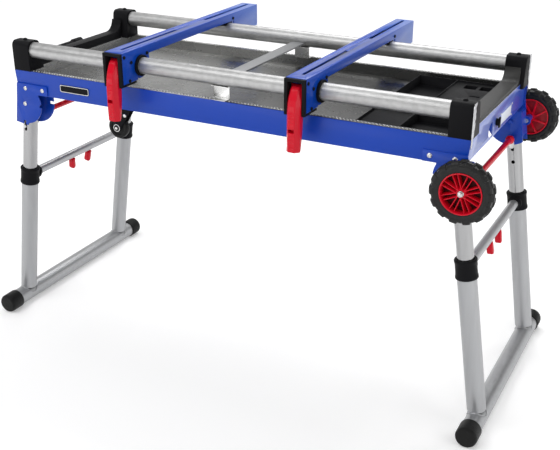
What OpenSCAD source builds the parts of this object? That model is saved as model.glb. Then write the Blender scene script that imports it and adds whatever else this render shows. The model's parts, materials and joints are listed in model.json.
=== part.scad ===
// Folding rolling work stand: a pressed steel top frame with two round tubes,
// two sliding tool arms, two H-shaped folding legs and a pair of transport wheels.
// X runs along the bench, the wheels are at +X, the cam levers face -Y, Z is up, floor at 0.

/* [Top frame] */
// Length of the side rails along their top edge
rail_l = 1310; // [1240:1:1400]
// How much shorter the side rails are along their lower edge, at each end
rail_slant = 7; // [0:1:15]
// Width over the outer faces of the two side rails
frame_w = 512; // [490:1:560]
// Height of a side rail
rail_h = 64; // [60:1:80]
// Sheet thickness of the rails
sheet = 2; // [1.5:0.1:2.5]
// Width of the flanges folded inwards along the rails
flange = 14; // [8:1:16]
// Height of the end rails, measured down from the frame's top edge
end_rail_h = 58; // [54:1:59]
// Rise of the right end rail above the frame's top edge, in front of the end beam
end_rail_rise = 13; // [8:1:16]
// Width of the half-oval hand hole in the right end rail
hand_w = 37; // [32:1:44]
// Height of the half-oval hand hole in the right end rail
hand_h = 36; // [30:1:38]

/* [Tubes and end caps] */
// Diameter of the two long round tubes
tube_d = 43; // [38:1:46]
// Wall of the two long round tubes
tube_wall = 2; // [1.5:0.1:3]
// Distance of the tube axes inside the outer faces of the side rails
tube_inset = 25; // [24:1:30]
// Height of the tube axes above the frame's top edge
tube_rise = 56; // [50:1:66]
// Length of a corner cap along the bench
cap_l = 55; // [45:1:70]
// Height of the corner cap above the tube axis
cap_over = 26; // [24:1:32]
// Wall of the corner cap beside the tube
cap_wall = 3.5; // [2.5:0.5:6]
// Height of the end beam between two caps
beam_h = 22; // [16:1:30]
// Depth of the left end beam along the bench
beam_left_l = 34; // [28:1:44]
// Depth of the right end beam along the bench
beam_right_l = 42; // [34:1:44]
// Corner radius where the end beam sweeps up to a cap
beam_r = 34; // [20:1:40]
// Width of the flat bar that ties the two tubes at mid-length
tie_w = 38; // [25:1:50]
// Thickness of the flat tie bar
tie_t = 4; // [3:0.5:6]
// Width of the stepped clips that carry the tubes
clip_w = 46; // [30:1:60]

/* [Tray and organiser] */
// Depth of the steel tray below the frame's top edge
tray_depth = 28; // [20:1:32]
// Sheet thickness of the tray
tray_t = 1.5; // [1:0.1:2]
// Length of the organiser along the bench
organiser_l = 228; // [180:1:280]
// Wall of the organiser
organiser_t = 2.5; // [2:0.1:4]
// Share of the organiser's width taken by the front bins, in millimetres
bin_front_w = 129; // [90:1:135]
// Width of the middle bin
bin_mid_w = 60; // [50:1:70]

/* [Legs] */
// Distance along the leg from the pivot to the foot tube's axis
leg_reach = 641; // [600:1:700]
// Angle by which the legs lean outwards
splay = 8.7; // [4:0.1:12]
// Distance of the leg pivots from the ends of the rails
pivot_inset = 26; // [24:1:34]
// Height of the frame's lower edge above the leg pivots
pivot_drop = 30.4; // [29:0.1:36]
// Diameter of the inner leg tubes
inner_d = 41; // [37:1:42]
// Diameter of the outer leg tubes
outer_d = 48; // [46:1:49]
// Wall of all leg tubes
leg_wall = 2; // [1.5:0.1:2.5]
// Diameter of the foot tubes
foot_d = 50; // [46:1:54]
// Diameter of the rubber foot caps
foot_cap_d = 56; // [54:1:60]
// Length of a foot with its caps
foot_l = 670; // [620:1:700]
// Length of a rubber foot cap
foot_cap_l = 47; // [35:1:60]
// Distance along the leg from the pivot to the crossbar's axis
cross_drop = 230; // [215:1:236]
// Diameter of the crossbar
cross_d = 25; // [22:1:28]
// Height adjustment of the legs
leg_travel = 115; // [90:1:120]
// Height of the plastic collar on top of the outer tube
collar_h = 50; // [40:1:60]
// Diameter of the plastic collar
collar_d = 56; // [53:1:57]
// Distance between the two release triggers
trigger_gap = 84; // [70:1:110]

/* [Leg brackets] */
// Thickness of the bracket plates
plate_t = 3; // [2:0.5:4]
// Radius of the bracket plates about the pivot
lobe_r = 65; // [60:1:65]
// Distance along the leg from the pivot to the red sleeve of the lock bar
bar_drop = 46; // [42:1:48]
// Diameter of the red sleeve of the lock bar
lock_d = 16; // [12:1:18]
// Diameter of the round knobs at the ends of the sleeve
knob_d = 24; // [18:1:25]
// Travel of the lock pins into the notches of the bracket plates
lock_in = 15; // [12:1:15]
// Travel of the lock pins away from the bracket plates
lock_out = 9; // [6:1:9]

/* [Wheels] */
// Diameter of the transport tyres over the lugs
tyre_d = 150; // [130:1:160]
// Width of the transport tyres
tyre_w = 37; // [30:1:44]
// Diameter of the tyre's seat on the hub
rim_d = 99; // [80:1:110]
// Height of the tread lugs
lug_h = 4; // [2:0.5:6]
// Number of tread lugs around a tyre
lug_n = 14; // [8:1:20]
// Diameter of the wheel axles
axle_d = 12; // [8:1:14]
// Distance of the wheel's middle from the outer face of the side rail
wheel_out = 56; // [53:1:70]
// Diameter of the small casters
caster_d = 62; // [50:1:64]
// Width of the small casters
caster_w = 18; // [14:1:22]

/* [Tool arms] */
// Length of a tool arm across the bench
arm_l = 712; // [680:1:760]
// Overhang of a tool arm in front of the front tube's axis
arm_front = 78; // [74:1:90]
// Width of a tool arm
arm_w = 54; // [48:1:60]
// Height of the tool arm's side plates behind the rear tube
arm_h = 64; // [58:1:70]
// Height of the tool arm's side plates between the tubes
arm_web_h = 23; // [18:1:24]
// Height of the arm's top face above the tube axes
arm_rise = 47; // [42:1:52]
// Sheet thickness of the arms
arm_t = 3; // [2:0.5:4]
// Position along the bench of the left arm
left_arm_x = -270; // [-330:1:-200]
// Position along the bench of the right arm
right_arm_x = 248; // [200:1:300]
// Width of the bolt slots in the arm's top face
slot_w = 9; // [6:0.5:12]
// Length of each of the two bolt slots
slot_l = 258; // [180:1:262]
// Width of the cam lever
lever_w = 35; // [26:1:38]
// Length of the cam lever below its pivot
lever_l = 144; // [120:1:170]

/* [Handle] */
// Width of the pull handle over its grip
grip_l = 170; // [130:1:200]
// Diameter of the pull handle's grip
grip_d = 24; // [20:1:30]
// Diameter of the two handle rods
rod_d = 14; // [10:1:16]
// Length of the handle rods
rod_l = 395; // [350:1:450]
// Distance of the rods' bearing blocks from the end of the rails
guide_inset = 100; // [80:1:120]
// Width of a bearing block
guide_w = 24; // [20:1:28]
// Length of a bearing block
guide_l = 22; // [16:1:30]

/* [Hidden] */

$fn = 64;
eps = 0.01;
// Widening of the corner caps towards their foot
cap_foot = 8;
// Play between parts that move on each other
play = 0.3;
// Play between pieces that only stand beside each other
air = 0.6;

blue = [0.10, 0.22, 0.66];
black = [0.09, 0.09, 0.10];
grey = [0.30, 0.30, 0.31];
silver = [0.72, 0.73, 0.74];
satin = [0.60, 0.61, 0.62];
red = [0.80, 0.07, 0.10];

// Heights and places that follow from the driving sizes
foot_r = foot_cap_d / 2;
pivot_z = foot_r + leg_reach * cos(splay);
pivot_x = rail_l / 2 - pivot_inset;
rail_z = pivot_z + pivot_drop;
top_z = rail_z + rail_h;
rail_y = frame_w / 2;
end_x = rail_l / 2;
tube_y = rail_y - tube_inset;
wheel_y = rail_y + wheel_out;
tube_r = tube_d / 2;
tube_z = top_z + tube_rise;
cap_x = end_x - cap_l;
cap_top = tube_z + cap_over;
leg_y = rail_y - air - inner_d / 2;
cheek_y = leg_y - inner_d / 2 - air - plate_t;
arm_top = tube_z + arm_rise;
arm_y0 = -tube_y - arm_front;
arm_y1 = arm_y0 + arm_l;
tray_z = top_z - tray_depth;
organiser_x1 = cap_x - 2;
organiser_x0 = organiser_x1 - organiser_l;
wheel_x = pivot_x + 31;
wheel_z = pivot_z - 7;
tyre_r = tyre_d / 2;
rim_r = rim_d / 2;
boss_d = 18;
outboard = 30;
pin_d = 8;
pin_hole_d = pin_d + 0.1;
lock_drop = lobe_r + pin_d / 2 + 1;
web_off = inner_d / 2 + 9;
end_web_x = end_x - rail_slant - sheet - 1;
socket_d = cross_d + 6;
fold = 97;
clamp_h = 88;
lever_reach = 39;
latch_y = -16;
latch_z = top_z - 27;
hand_y = -63.5;
hand_z = top_z - 35;
caster_dz = 46;
caster_swing = cross_drop + (socket_d + caster_d) / 2 + 1.3;
caster_x = -(pivot_x - sqrt(pow(caster_swing, 2) - pow(caster_dz, 2)));
caster_y = cheek_y - 17;
caster_z = pivot_z - caster_dz;
fork_gap = caster_w / 2 + 1.5;
lever_y = -tube_y - 66;
lever_z = tube_z + 18;
mid_y = (lever_y - lever_reach + arm_y1) / 2;
grip_x = -end_x - 38;
grip_z = top_z + 6;
rod_z = rail_z + 20;
rod_y = grip_l / 2 - 15;

// Moves the design's middle plane so that the whole bench stands centred on the origin.
module centred() {
    translate([0, -mid_y, 0]) children();
}

// Mirrors its children to the left end when side is -1.
module at_end(side) {
    if (side < 0) mirror([1, 0, 0]) children();
    else children();
}

// Puts its children, drawn along -Z from the pivot, onto the leg at the right end.
module on_leg() {
    translate([pivot_x, 0, pivot_z]) rotate([0, -splay, 0]) children();
}

module rod_along_y(d, y0, y1) {
    translate([0, y0, 0]) rotate([-90, 0, 0]) cylinder(d = d, h = y1 - y0);
}

module rod_along_x(d, x0, x1) {
    translate([x0, 0, 0]) rotate([0, 90, 0]) cylinder(d = d, h = x1 - x0);
}

module pipe(d, wall, h) {
    difference() {
        cylinder(d = d, h = h);
        translate([0, 0, -1]) cylinder(d = d - 2 * wall, h = h + 2);
    }
}

// A plate drawn in X and Z, standing at y0 with thickness t.
module plate_xz(y0, t) {
    translate([0, y0 + t, 0]) rotate([90, 0, 0]) linear_extrude(t) children();
}

// A plate drawn in Y and Z, standing at x0 with thickness t.
module plate_yz(x0, t) {
    translate([x0, 0, 0]) rotate([90, 0, 90]) linear_extrude(t) children();
}

module slot_2d(l, w) {
    translate([-(l - w) / 2, -w / 2]) square([l - w, w]);
    for (s = [-1, 1]) translate([s * (l - w) / 2, 0]) circle(d = w);
}

// Pressed side rail: an upright web, a flange along its top and one along its foot.
module side_rail() {
    x1 = end_x;
    x0 = end_x - rail_slant;
    plate_xz(-rail_y, sheet)
        polygon([[-x0, rail_z], [x0, rail_z], [x1, top_z], [-x1, top_z]]);
    translate([-x1, -rail_y + sheet, top_z - sheet]) cube([2 * x1, flange - sheet, sheet]);
    translate([-x0, -rail_y + sheet, rail_z]) cube([2 * x0, flange - sheet, sheet]);
}

module side_rail_front() { color(blue) centred() side_rail(); }

module side_rail_rear() { color(blue) centred() mirror([0, 1, 0]) side_rail(); }

// End rail: the right one has a half-oval hand hole and rises before the beam, the left one
// lets the handle's rods through.
module end_rail(holes) {
    half = rail_y - sheet - air / 2;
    x0 = end_web_x;
    z0 = top_z - end_rail_h;
    rise_half = tube_y - tube_r - cap_wall - cap_foot - air;
    difference() {
        union() {
            if (!holes) plate_yz(x0, sheet)
                translate([-rise_half, z0]) square([2 * rise_half, end_rail_h + end_rail_rise]);
            plate_yz(x0, sheet)
                translate([-half, z0]) square([2 * half, end_rail_h - sheet - air]);
            for (s = [-1, 1]) translate([x0 - 14, s * (half - sheet / 2) - sheet / 2, z0])
                cube([14, sheet, end_rail_h - sheet - air]);
        }
        if (!holes) translate([x0 - 1, hand_y, hand_z]) rotate([90, 0, 90]) linear_extrude(sheet + 2) {
            circle(d = hand_h);
            translate([0, -hand_h / 2]) square([hand_w - hand_h / 2, hand_h]);
        }
        if (!holes) translate([0, latch_y, latch_z]) rod_along_x(pin_hole_d, x0 - 1, x0 + sheet + 1);
        if (holes) for (s = [-1, 1]) translate([0, s * rod_y, rod_z])
            rod_along_x(rod_d + 2 * play, x0 - 1, x0 + sheet + 1);
    }
}

module end_rail_left() { color(blue) centred() mirror([1, 0, 0]) end_rail(true); }

module end_rail_right() { color(blue) centred() end_rail(false); }

// Channel between the side rails that carries the small casters.
module cross_member() {
    w = 60;
    h = 12;
    x0 = caster_x - 20;
    half = rail_y - flange - air;
    color(blue) centred() translate([x0, 0, rail_z]) difference() {
        translate([0, -half, 0]) cube([w, 2 * half, h]);
        translate([sheet, -half - 1, sheet]) cube([w - 2 * sheet, 2 * half + 2, h]);
    }
}

// Shallow steel tray with a lip resting on the rails' upper flanges.
module steel_tray() {
    half = rail_y - sheet - air;
    well = rail_y - flange - air;
    x0 = -end_x + rail_slant + 26;
    x1 = end_x - rail_slant - 26;
    color(grey) centred() difference() {
        union() {
            translate([x0, -well, tray_z]) cube([x1 - x0, 2 * well, tray_depth]);
            translate([x0, -half, top_z]) cube([x1 - x0, 2 * half, tray_t]);
        }
        translate([x0 + tray_t, -well + tray_t, tray_z + tray_t])
            cube([x1 - x0 - 2 * tray_t, 2 * (well - tray_t), tray_depth + tray_t]);
        for (s = [-1, 1]) translate([s > 0 ? cap_x - air : -end_x, -rail_y, top_z - eps])
            cube([end_x - cap_x + air, 2 * rail_y, 2 * tray_t]);
        for (s = [-1, 1]) translate([-clip_w / 2 - air, s > 0 ? well - 14 : -rail_y, top_z - eps])
            cube([clip_w + 2 * air, rail_y - well + 14, 2 * tray_t]);
    }
}

// Black organiser with bins and a raised panel that has three slots.
module organiser_tray() {
    y0 = -(rail_y - flange - air) + tray_t + 1;
    y1 = -y0 - 34;
    z0 = tray_z + tray_t;
    h = tray_depth;
    l = organiser_l;
    t = organiser_t;
    split_x = 107;
    y_mid = y0 + bin_front_w;
    y_back = y_mid + bin_mid_w;
    color(black) centred() translate([organiser_x0, 0, z0]) difference() {
        translate([0, y0, 0]) cube([l, y1 - y0, h]);
        translate([t, y0 + t, h - 7]) cube([split_x - 2 * t, bin_front_w - 2 * t, h]);
        translate([split_x + t, y0 + t, t]) cube([l - split_x - 2 * t, bin_front_w - 2 * t, h]);
        translate([t, y_mid, t]) cube([l - 2 * t, bin_mid_w - t, h]);
        translate([t, y_back, t]) cube([split_x - t, y1 - y_back - t, h]);
        translate([split_x + t, y_back, h - 4]) cube([l - split_x - 2 * t, y1 - y_back - t, h]);
        translate([split_x + 33, y_back + 196, t]) cube([33, 33, h]);
        translate([split_x + 75, y_back + 196, t]) cube([31, 33, h]);
        translate([split_x + 70, y_back + 130, t]) cube([26, 8, h]);
    }
}

module long_tube(y) {
    color(silver) centred() translate([0, y, tube_z]) difference() {
        rod_along_x(tube_d, -end_x + 8, end_x - 8);
        rod_along_x(tube_d - 2 * tube_wall, -end_x, end_x);
    }
}

module front_tube() { long_tube(-tube_y); }

module rear_tube() { long_tube(tube_y); }

// Corner cap: a block with a rounded top round the tube's end, wider at its foot.
module corner_cap() {
    r = 15;
    out_y = rail_y;
    in_top = tube_y - tube_r - cap_wall;
    in_foot = in_top - cap_foot;
    difference() {
        translate([cap_x, 0, 0]) rotate([90, 0, 90]) linear_extrude(cap_l) union() {
            polygon([[in_foot, top_z], [out_y, top_z], [out_y, cap_top - r],
                [out_y - 2, cap_top - r], [out_y - 2 - r, cap_top], [in_top + r + 3, cap_top],
                [in_top + 1, cap_top - r]]);
            translate([out_y - r, cap_top - r]) circle(r = r);
            translate([in_top + r + 1, cap_top - r]) circle(r = r);
        }
        translate([0, tube_y, tube_z]) rod_along_x(tube_d, cap_x - 1, end_x - 8);
    }
}

module cap_front_left() { color(black) centred() mirror([1, 0, 0]) mirror([0, 1, 0]) corner_cap(); }

module cap_front_right() { color(black) centred() mirror([0, 1, 0]) corner_cap(); }

module cap_rear_left() { color(black) centred() mirror([1, 0, 0]) corner_cap(); }

module cap_rear_right() { color(black) centred() corner_cap(); }

// Outline in Y and Z of the dip between two caps, with its corners swept upwards.
module dip_2d(half, foot_z, dip_z, top) {
    difference() {
        translate([-half, foot_z]) square([2 * half, top - foot_z]);
        translate([-half + beam_r, dip_z]) square([2 * (half - beam_r), top]);
        translate([-half, dip_z + beam_r]) square([2 * half, top]);
        for (s = [-1, 1]) translate([s * (half - beam_r), dip_z + beam_r]) circle(r = beam_r);
    }
}

// Beam between the two caps of an end, hollow below, its outer face at x1.
module end_beam(x1, depth) {
    half = tube_y - tube_r - cap_wall - cap_foot;
    wall = 3;
    z0 = top_z;
    difference() {
        plate_yz(x1 - depth, depth) dip_2d(half, z0, z0 + beam_h, z0 + beam_h + beam_r);
        translate([x1 - depth + wall, -half + cap_foot, z0 - 1])
            cube([depth - 2 * wall, 2 * (half - cap_foot), beam_h - 2]);
    }
}

module end_beam_left() { color(black) centred() mirror([1, 0, 0]) end_beam(end_x, beam_left_l); }

module end_beam_right() { color(grey) centred() end_beam(end_web_x - air, beam_right_l); }

// Pale plates on the end faces of the right corner caps, tapered down over the frame's corner.
module end_plate_right() {
    plate_w = tube_d + 2 * cap_wall;
    corner = 14;
    drop = 40;
    foot_w = 7;
    in_y = rail_y - plate_w;
    color(silver) centred() for (s = [-1, 1]) mirror([0, s > 0 ? 0 : 1, 0]) plate_yz(end_x, 1.5)
        polygon([[rail_y, top_z - drop], [rail_y, cap_top - corner],
            [rail_y - corner / 3, cap_top - corner / 3],
            [rail_y - corner, cap_top - 1], [in_y + corner, cap_top - 1],
            [in_y + corner / 3, cap_top - corner / 3],
            [in_y, cap_top - corner], [in_y, top_z + beam_h], [in_y + plate_w / 4, top_z],
            [rail_y - foot_w, top_z - drop]]);
}

module cap_screws() {
    color(black) centred() for (sx = [-1, 1], sy = [-1, 1])
        translate([sx * (cap_x + cap_l / 2), sy * tube_y, cap_top]) {
            cylinder(d = 9, h = 3.5);
            translate([0, 0, 3.5]) cylinder(d = 6, h = 1);
        }
}

// Flat bar welded between the tubes, its ends cut to the tubes' round.
module tie_bar() {
    color(satin) centred() translate([0, 0, tube_z - 7]) difference() {
        translate([-tie_w / 2, -tube_y, -tie_t / 2]) cube([tie_w, 2 * tube_y, tie_t]);
        for (s = [-1, 1]) translate([0, s * tube_y, 7]) rod_along_x(tube_d, -tie_w, tie_w);
    }
}

// Stepped clips: a foot on the rail, an upright, and a saddle under the tube.
module tube_clips() {
    t = 2;
    saddle_z = tube_z - tube_r - t;
    color(satin) centred() for (s = [-1, 1]) translate([-clip_w / 2, 0, 0]) mirror([0, s > 0 ? 1 : 0, 0]) {
        translate([0, -rail_y + 2, top_z]) cube([clip_w, 26, t]);
        translate([0, -rail_y + 26, top_z]) cube([clip_w, t, saddle_z - top_z]);
        translate([0, -tube_y - 12, saddle_z]) cube([clip_w, 24, t]);
    }
}

module name_plate() {
    color(black) centred() plate_xz(-rail_y - 1.2, 1.2) translate([-450, rail_z + 31])
        union() {
            square([98, 15], center = true);
            square([92, 21], center = true);
            for (sx = [-1, 1], sz = [-1, 1]) translate([sx * 46, sz * 7.5]) circle(r = 3);
        }
}

// Rivet heads on the outer plates, two to a bracket.
module frame_rivets() {
    color(silver) centred() for (sx = [-1, 1], sy = [-1, 1])
        at_end(sx) mirror([0, sy < 0 ? 1 : 0, 0])
            for (x = [pivot_x - 7, pivot_x - 67]) translate([x, rail_y + plate_t, rail_z + 15])
                rotate([-90, 0, 0]) cylinder(d1 = 12, d2 = 9, h = 2.5);
}

// Pins on which the inner leg tubes turn, with a head outside each outer plate.
module leg_pivot_pins() {
    color(silver) centred() for (sx = [-1, 1], sy = [-1, 1])
        at_end(sx) mirror([0, sy < 0 ? 1 : 0, 0]) translate([pivot_x, 0, pivot_z]) {
            rod_along_y(pin_d, cheek_y - 2, rail_y + plate_t);
            rod_along_y(pin_d + 4, rail_y + plate_t, rail_y + plate_t + 2.5);
            rod_along_y(pin_d + 3, cheek_y - 4, cheek_y);
        }
}

// Outline of the outer plate: upper lap over the rail, slanted outboard edge, round lobe, flat foot
// and, at the wheels, a round ear for the axle's boss.
module outer_plate_2d(wheel_side) {
    top = pivot_drop + 28;
    inboard = lobe_r + 19;
    round_r = lobe_r - 8;
    foot = lobe_r - 3;
    difference() {
        union() {
            circle(r = round_r);
            translate([-inboard, pivot_drop]) square([inboard + outboard - 8, top - pivot_drop]);
            polygon([[-round_r + 7, 0], [-round_r + 7, top], [outboard - 8, top], [outboard, 0]]);
            rotate(splay) translate([-12, -foot]) square([outboard + 12, foot]);
        }
        translate([-inboard - 1, top]) square([4 * lobe_r, lobe_r]);
        rotate(splay) translate([outboard, -2 * lobe_r]) square([lobe_r, 2 * lobe_r]);
        polygon([[outboard, -1], [outboard, 0], [outboard - 8, top + 1], [3 * lobe_r, top + 1],
            [3 * lobe_r, -1]]);
    }
    if (wheel_side) translate([wheel_x - pivot_x, wheel_z - pivot_z]) circle(d = boss_d + 6);
}

// Leg bracket at the rear right: outer plate, web under the rail, inner plate, outboard web.
module leg_bracket(wheel_side) {
    z_in = pivot_drop - air;
    notch_r = lock_drop - lock_in - pin_d / 2 - play;
    difference() {
        union() {
            translate([pivot_x, 0, pivot_z]) plate_xz(rail_y, plate_t) outer_plate_2d(wheel_side);
            translate([pivot_x, 0, pivot_z]) plate_xz(cheek_y, plate_t) intersection() {
                circle(r = lobe_r);
                rotate(splay) translate([-lobe_r, -lobe_r]) square([lobe_r + web_off, 2 * lobe_r]);
                translate([-lobe_r, -lobe_r]) square([2 * lobe_r, lobe_r + z_in]);
            }
            translate([pivot_x - 34, cheek_y, pivot_z + z_in - plate_t])
                cube([34 + web_off - 6, rail_y - cheek_y + 1, plate_t]);
            on_leg() translate([web_off - plate_t, cheek_y, -44]) cube([plate_t, rail_y - cheek_y + 1, 66]);
            if (wheel_side) translate([wheel_x, 0, wheel_z])
                rod_along_y(boss_d, rail_y + 1, wheel_y - tyre_w / 2 - 1);
        }
        translate([pivot_x, 0, pivot_z]) rod_along_y(pin_d, cheek_y - 1, rail_y + plate_t + 1);
        for (turn = [0, fold]) translate([pivot_x, 0, pivot_z]) rotate([0, turn - splay, 0])
            translate([-pin_d / 2 - play, cheek_y - 1, -lobe_r - 1])
                cube([pin_d + 2 * play, rail_y - cheek_y + plate_t + 2, lobe_r + 1 - notch_r]);
        if (wheel_side) translate([wheel_x, 0, wheel_z]) rod_along_y(axle_d, rail_y - 1, wheel_y);
    }
}

module bracket_front_left() { color(blue) centred() mirror([1, 0, 0]) mirror([0, 1, 0]) leg_bracket(false); }

module bracket_rear_left() { color(blue) centred() mirror([1, 0, 0]) leg_bracket(false); }

module bracket_front_right() { color(blue) centred() mirror([0, 1, 0]) leg_bracket(true); }

module bracket_rear_right() { color(blue) centred() leg_bracket(true); }

// Shoulder bolts that carry the transport wheels, with a nut outside.
module wheel_axles() {
    color(silver) centred() for (m = [0, 1]) mirror([0, m, 0]) translate([wheel_x, 0, wheel_z]) {
        rod_along_y(axle_d, rail_y, wheel_y + tyre_w / 2);
        rod_along_y(18, wheel_y + tyre_w / 2 - 4, wheel_y + tyre_w / 2 - 1);
        translate([0, wheel_y + tyre_w / 2 - 1, 0]) rotate([-90, 0, 0]) cylinder(d = 15, h = 6, $fn = 6);
    }
}

// Hangers below the frame, each with two fork plates and an axle for its caster.
module caster_hangers() {
    dz = rail_z - caster_z;
    t = 2;
    out = 50;
    fork_w = 2 * (fork_gap + t);
    color(blue) centred() for (sy = [-1, 1]) translate([caster_x, sy * caster_y, caster_z]) {
        difference() {
            union() {
                for (sp = [-1, 1]) plate_xz(sp * (fork_gap + t / 2) - t / 2, t)
                    polygon([[-out, dz - t], [out, dz - t], [out, dz - 18], [11, -9], [-9, -9], [-11, 6],
                        [-19, dz - 18], [-out, dz - 18]]);
                translate([-out, -fork_w / 2, dz - t]) cube([2 * out, fork_w, t]);
            }
            rod_along_y(pin_d, -fork_w, fork_w);
        }
        rod_along_y(pin_d, -fork_gap - 2 * t, fork_gap + 2 * t);
    }
}

// Bearing blocks below the tray in which the handle rods slide.
module handle_guides() {
    foot = 11;
    x0 = -end_x + guide_inset;
    color(black) centred() for (s = [-1, 1]) translate([x0, s * rod_y, rod_z]) difference() {
        translate([0, -guide_w / 2, -foot]) cube([guide_l, guide_w, tray_z - rod_z + foot]);
        rod_along_x(rod_d + 2 * play, -1, guide_l + 1);
    }
}

// Inner leg tubes with pivot holes, lock bar slots, height holes and a glide at the foot.
module inner_tubes() {
    low = -(cross_drop + 150);
    high = 14;
    slot = pin_d + 2 * play;
    slot_top = lock_drop - lock_in - 1;
    slot_low = lock_drop + lock_out + 1;
    color(silver) centred() on_leg() for (s = [-1, 1]) translate([0, s * leg_y, 0]) difference() {
        union() {
            translate([0, 0, low]) cylinder(d = inner_d, h = high - low);
            translate([0, 0, low - 16]) cylinder(d = outer_d - 2 * leg_wall - 2 * play, h = 16);
        }
        translate([0, 0, low + 2]) cylinder(d = inner_d - 2 * leg_wall, h = high - low);
        rod_along_y(pin_hole_d, -inner_d, inner_d);
        for (z = [slot_top, slot_low]) translate([0, 0, -z]) rod_along_y(slot, -inner_d, inner_d);
        translate([-slot / 2, -inner_d, -slot_low]) cube([slot, 2 * inner_d, slot_low - slot_top]);
        for (z = [cross_drop, cross_drop - leg_travel]) translate([0, 0, -z])
            rod_along_y(pin_d + 2, s > 0 ? -inner_d : 0, s > 0 ? 0 : inner_d);
    }
}

// Outer tubes welded to the foot tube.
module foot_frame() {
    high = -(cross_drop - collar_h / 2 + 8);
    color(satin) centred() on_leg() difference() {
        union() {
            for (s = [-1, 1]) translate([0, s * leg_y, -leg_reach])
                cylinder(d = outer_d, h = leg_reach + high);
            translate([0, 0, -leg_reach]) rod_along_y(foot_d, -foot_l / 2 + 4, foot_l / 2 - 4);
        }
        for (s = [-1, 1]) translate([0, s * leg_y, -leg_reach + foot_d / 2 - 1])
            cylinder(d = outer_d - 2 * leg_wall, h = leg_reach);
        translate([0, 0, -leg_reach]) rod_along_y(foot_d - 2 * leg_wall, -foot_l, foot_l);
        translate([0, 0, -cross_drop]) rod_along_y(pin_d + 2, -leg_y, leg_y);
    }
}

// Collars on the outer tubes, each with a socket that takes the crossbar's end.
module collars() {
    lip = 8;
    color(black) centred() on_leg() for (s = [-1, 1]) mirror([0, s > 0 ? 0 : 1, 0])
        translate([0, leg_y, -cross_drop]) difference() {
            union() {
                translate([0, 0, -collar_h / 2]) cylinder(d = collar_d, h = collar_h);
                rod_along_y(socket_d, -38, 0);
            }
            translate([0, 0, -collar_h]) cylinder(d = outer_d, h = 1.5 * collar_h - lip);
            cylinder(d = inner_d + 2 * play, h = collar_h);
            rod_along_y(cross_d, -39, -outer_d / 2 + 1);
        }
}

// Crossbar with a slot underneath for the triggers.
module crossbar() {
    end_y = leg_y - outer_d / 2 - air;
    color(satin) centred() on_leg() translate([0, 0, -cross_drop]) difference() {
        rod_along_y(cross_d, -end_y, end_y);
        rod_along_y(cross_d - 3, -end_y - 1, end_y + 1);
        translate([-4.5, -trigger_gap / 2 - 14, -cross_d]) cube([9, trigger_gap + 28, cross_d]);
    }
}

module foot_caps() {
    color(black) centred() on_leg() for (s = [-1, 1]) mirror([0, s > 0 ? 0 : 1, 0])
        translate([0, foot_l / 2 - foot_cap_l, -leg_reach]) difference() {
            union() {
                rod_along_y(foot_cap_d, 0, foot_cap_l - 4);
                translate([0, foot_cap_l - 4, 0]) rotate([-90, 0, 0])
                    cylinder(d1 = foot_cap_d, d2 = foot_cap_d - 6, h = 4);
            }
            rod_along_y(foot_d, -1, foot_cap_l - 4);
        }
}

// Red sleeve with a knob beside each bracket, and links down to the pins that run in the tubes.
module lock_bar() {
    end_y = rail_y + plate_t + 1.5;
    link_w = 14;
    link_t = 2.5;
    link_y = cheek_y - 1.5 - link_t;
    link_low = lock_drop + pin_d / 2 + 1;
    color(red) centred() on_leg() {
        translate([0, 0, -bar_drop]) rod_along_y(lock_d, -link_y - 1, link_y + 1);
        for (s = [-1, 1]) mirror([0, s > 0 ? 0 : 1, 0]) {
            translate([0, 0, -lock_drop]) rod_along_y(pin_d, link_y, end_y);
            translate([-link_w / 2, link_y, -link_low])
                cube([link_w, link_t, link_low - bar_drop + lock_d / 2]);
            translate([0, link_y - 1 - knob_d / 2, -bar_drop]) sphere(d = knob_d);
        }
    }
}

// Release trigger: a finger piece below the crossbar and a rod to the lock pin inside it.
module trigger(s) {
    tip = leg_y - inner_d / 2 - play - 0.1;
    neck = cross_d / 2 + 6;
    paddle_t = 18;
    root_r = 6.5;
    end_r = 8.5;
    color(red) centred() on_leg() mirror([0, s > 0 ? 0 : 1, 0]) translate([0, 0, -cross_drop]) {
        rod_along_y(pin_d, trigger_gap / 2 - 5, tip);
        translate([-3.5, trigger_gap / 2 - 5, -neck]) cube([7, 9, neck]);
        translate([0, trigger_gap / 2 - 2, -neck]) rotate([90, 0, 90])
            translate([0, 0, -paddle_t / 2]) linear_extrude(paddle_t) hull() {
                translate([2, 0]) circle(r = root_r);
                translate([-5, -23]) circle(r = end_r);
            }
    }
}

module left_inner_tubes() { mirror([1, 0, 0]) inner_tubes(); }

module left_foot_frame() { mirror([1, 0, 0]) foot_frame(); }

module left_collars() { mirror([1, 0, 0]) collars(); }

module left_crossbar() { mirror([1, 0, 0]) crossbar(); }

module left_foot_caps() { mirror([1, 0, 0]) foot_caps(); }

module left_lock_bar() { mirror([1, 0, 0]) lock_bar(); }

module left_trigger_front() { mirror([1, 0, 0]) trigger(-1); }

module left_trigger_rear() { mirror([1, 0, 0]) trigger(1); }

module right_inner_tubes() { inner_tubes(); }

module right_foot_frame() { foot_frame(); }

module right_collars() { collars(); }

module right_crossbar() { crossbar(); }

module right_foot_caps() { foot_caps(); }

module right_lock_bar() { lock_bar(); }

module right_trigger_front() { trigger(-1); }

module right_trigger_rear() { trigger(1); }

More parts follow.
